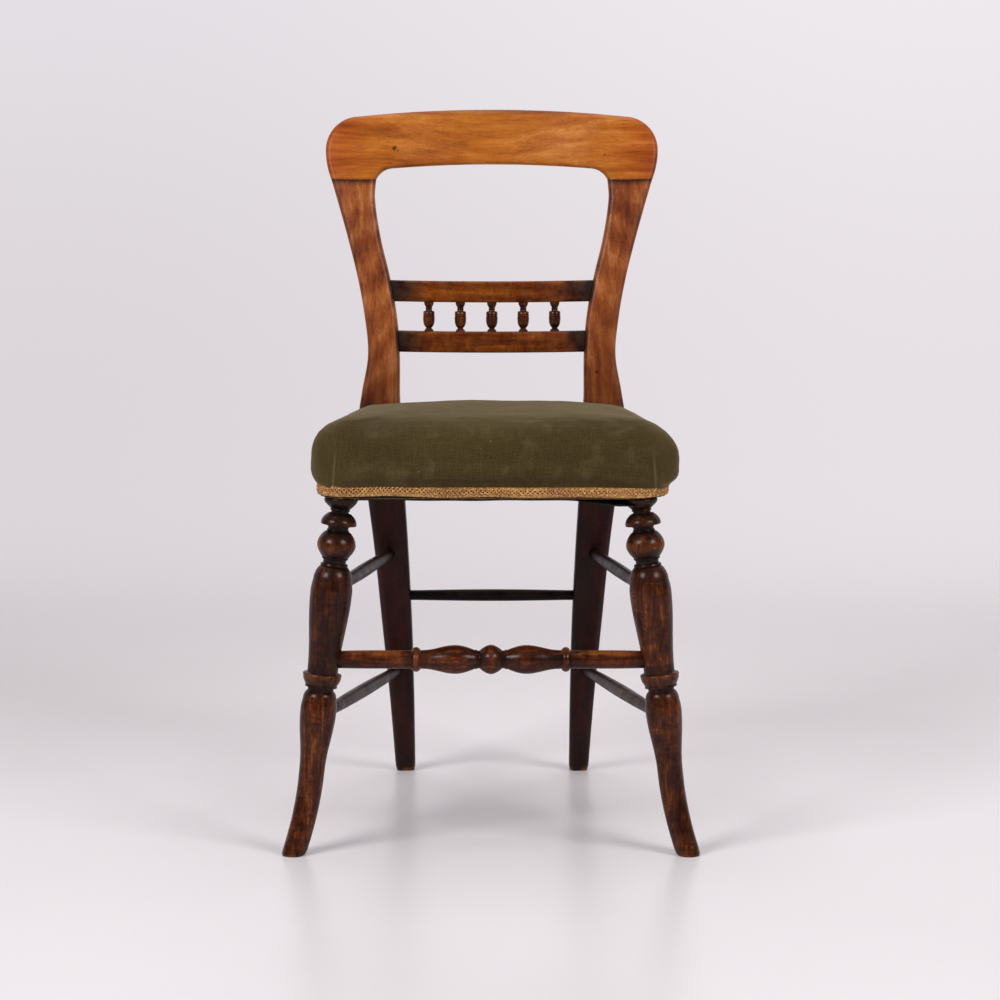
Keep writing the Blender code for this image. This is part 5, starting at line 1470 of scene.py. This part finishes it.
# %% [markdown]
# What the upholstery hides is on the chair too: beech rails with glue blocks in their corners,
# interlaced jute webbing, a hessian sheet, and dowels in the crest joints. Their solids are already
# right, so they only need finishes of their own.

# %% Finishes for the hidden pieces
jute = plain_weave("jute_web", ("#8a6c44", "#a98a5c", "#c4a878"), 150, 0.95, 0.15)
sacking = plain_weave("hessian_weave", ("#6f5835", "#94794c", "#b39a6c"), 260, 0.95, 0.1)
hidden = {
    "front_seat_rail": beech["X"], "rear_seat_rail": beech["X"],
    "side_seat_rail_left": beech["Y"], "side_seat_rail_right": beech["Y"], "hessian": sacking,
}
for side_name in ("left", "right"):
    hidden["glue_block_front_" + side_name] = hidden["glue_block_rear_" + side_name] = beech["Z"]
    for place in ("inner", "outer"):
        hidden[f"crest_dowel_{side_name}_{place}"] = beech["Z"]
for direction in ("lengthwise", "crosswise"):
    for number in (1, 2, 3):
        hidden[f"webbing_{direction}_{number}"] = jute
for name, finish in hidden.items():
    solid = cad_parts[name]
    for slot in solid.material_slots:
        slot.material = finish
print("hidden pieces finished:", len(hidden))

# %% [markdown]
# The photo was taken in a studio on a pale floor that curves up into the wall. The curve is one strip
# swept up by a quarter turn. It is a little glossy near the feet, where it mirrors them faintly. Far
# from the chair it shows a colour of its own, through a light path node, so that it looks pale
# however little light falls there. That colour is painted light: darker on the left and low down,
# paler to the right and higher up, and the far floor is painted paler to the right as well.

# %% Floor and backdrop
COVE_START = 1.75
COVE_RADIUS = 1.6
FLOOR_REACH = 6
WALL_HEIGHT = 5
bm = bmesh.new()
start = bm.verts.new((-FLOOR_REACH, -FLOOR_REACH, 0))
turn = bm.verts.new((-FLOOR_REACH, COVE_START, 0))
bm.edges.new((start, turn))
arc = bmesh.ops.spin(bm, geom=[turn], cent=(-FLOOR_REACH, COVE_START, COVE_RADIUS), axis=(1, 0, 0),
                     angle=math.pi / 2, steps=24)
top = next(g for g in arc["geom_last"] if isinstance(g, bmesh.types.BMVert))
bm.edges.new((top, bm.verts.new((-FLOOR_REACH, top.co.y, WALL_HEIGHT))))
swept = bmesh.ops.extrude_edge_only(bm, edges=bm.edges[:])
bmesh.ops.translate(bm, vec=(2 * FLOOR_REACH, 0, 0),
                    verts=[g for g in swept["geom"] if isinstance(g, bmesh.types.BMVert)])
bmesh.ops.recalc_face_normals(bm, faces=bm.faces)


def studio_finish():
    """Diffuse paint near the chair, so that it takes shadows, and a glow on the far wall; both carry
    painted light, paler to the right and higher up.
    """
    finish, tree, shader, place = new_finish("pale_studio_paint")
    patches = cloudy(tree, place, 1.6, 3)
    colour = graded(tree, patches, ((0.3, "#e7e1e4"), (0.7, "#ede7ea")))
    # Painted light: the floor's colour turns paler towards the back and the right.
    across = ranged(tree, measured(tree, place, "X"), -1.0, 1.0)
    back = measured(tree, place, "Y")
    far_floor = ranged(tree, back, -0.5, 0.6)
    far_floor_painted_light = times(tree, far_floor, plus(tree, times(tree, across, 0.7), 0.3))
    colour = blended(tree, far_floor_painted_light, colour, "#fbf5f8")
    feed(tree, shader.inputs["Base Color"], colour)
    feed(tree, shader.inputs["Roughness"], ranged(tree, back, 0.3, 0.8, 0.30, 0.75))
    adjust(shader, Specular_IOR_Level=0.32)
    # Painted light in the wall's glow: darker on the left and low down, paler to the right and higher up.
    high = ranged(tree, measured(tree, place, "Z"), 0.25, 1.5)
    wall = blended(tree, across, "#dcd6da", "#e7e1e5")
    wall = blended(tree, high, wall, blended(tree, across, "#e6e1e6", "#f0ebef"))
    glow = node(tree, "Emission")
    feed(tree, glow.inputs["Color"], wall)
    ray = node(tree, "LightPath")
    seen = most(tree, ray.outputs["Is Camera Ray"], ray.outputs["Is Glossy Ray"],
                ray.outputs["Is Transmission Ray"])
    around = node(tree, "VectorMath", operation="LENGTH")
    feed(tree, around.inputs[0], place)
    away = most(tree, ranged(tree, back, 0.8, 2.4), ranged(tree, around.outputs["Value"], 1.5, 3.2))
    show_either(tree, times(tree, away, seen), shader, glow, "Material Output")
    return finish


def show_either(tree, share, first, second, output):
    """Sends a mix of two shaders to the output, where a share of 1 is all the second."""
    both = node(tree, "MixShader")
    for place, value in enumerate((share, first.outputs[0], second.outputs[0])):
        feed(tree, both.inputs[place], value)
    feed(tree, tree.nodes[output].inputs["Surface"], both.outputs[0])


studio = as_mesh("studio_sweep", bm)
studio.shade_smooth()
studio.materials.append(studio_finish())
sweep = placed("studio_sweep", studio)
print("sweep starts to rise", COVE_START, "m behind the chair's middle")


# %% [markdown]
# Two soft lamps stand to the left and right of the camera, which gives the turned balls their paired
# highlights, and a wide one hangs overhead. The world is pale where the camera looks at it or where
# polish mirrors what is behind the chair, but as a light it is dim, and only fills the shadows.

# %% Lamps and world
def add_lamp(name, place, aim, size, watts):
    data = bpy.data.lights.new(name, "AREA")
    data.shape, data.size, data.size_y, data.energy = "RECTANGLE", *size, watts
    lamp = placed(name, data)
    lamp.location = place
    lamp.rotation_euler = (Vector(aim) - Vector(place)).to_track_quat("-Z", "Y").to_euler()


add_lamp("soft_lamp_left", (-2.3, -2.4, 2.3), (0, 0, 0.4), (1.5, 1.2), 84)
add_lamp("soft_lamp_right", (2.4, -2.2, 2.2), (0, 0, 0.4), (1.5, 1.2), 68)
add_lamp("overhead_panel", (0, 0.2, 3.2), (0, 0, 0), (2.4, 2.4), 34)
world = bpy.data.worlds.new("pale_room")
world.use_nodes = True
room = world.node_tree
fill = room.nodes["Background"]
adjust(fill, Color="#f0ecef", Strength=0.12)
pale_wall = node(room, "Background")
adjust(pale_wall, Color="#e2dce0")
ray = node(room, "LightPath")
direction = node(room, "TexCoord").outputs["Generated"]
backwards = ranged(room, measured(room, direction, "Y"), 0.0, 0.6)
seen = most(room, times(room, ray.outputs["Is Glossy Ray"], backwards), ray.outputs["Is Camera Ray"],
            ray.outputs["Is Transmission Ray"])
show_either(room, seen, fill, pale_wall, "World Output")
bpy.context.scene.world = world
print("lamps:", len(bpy.data.lights))
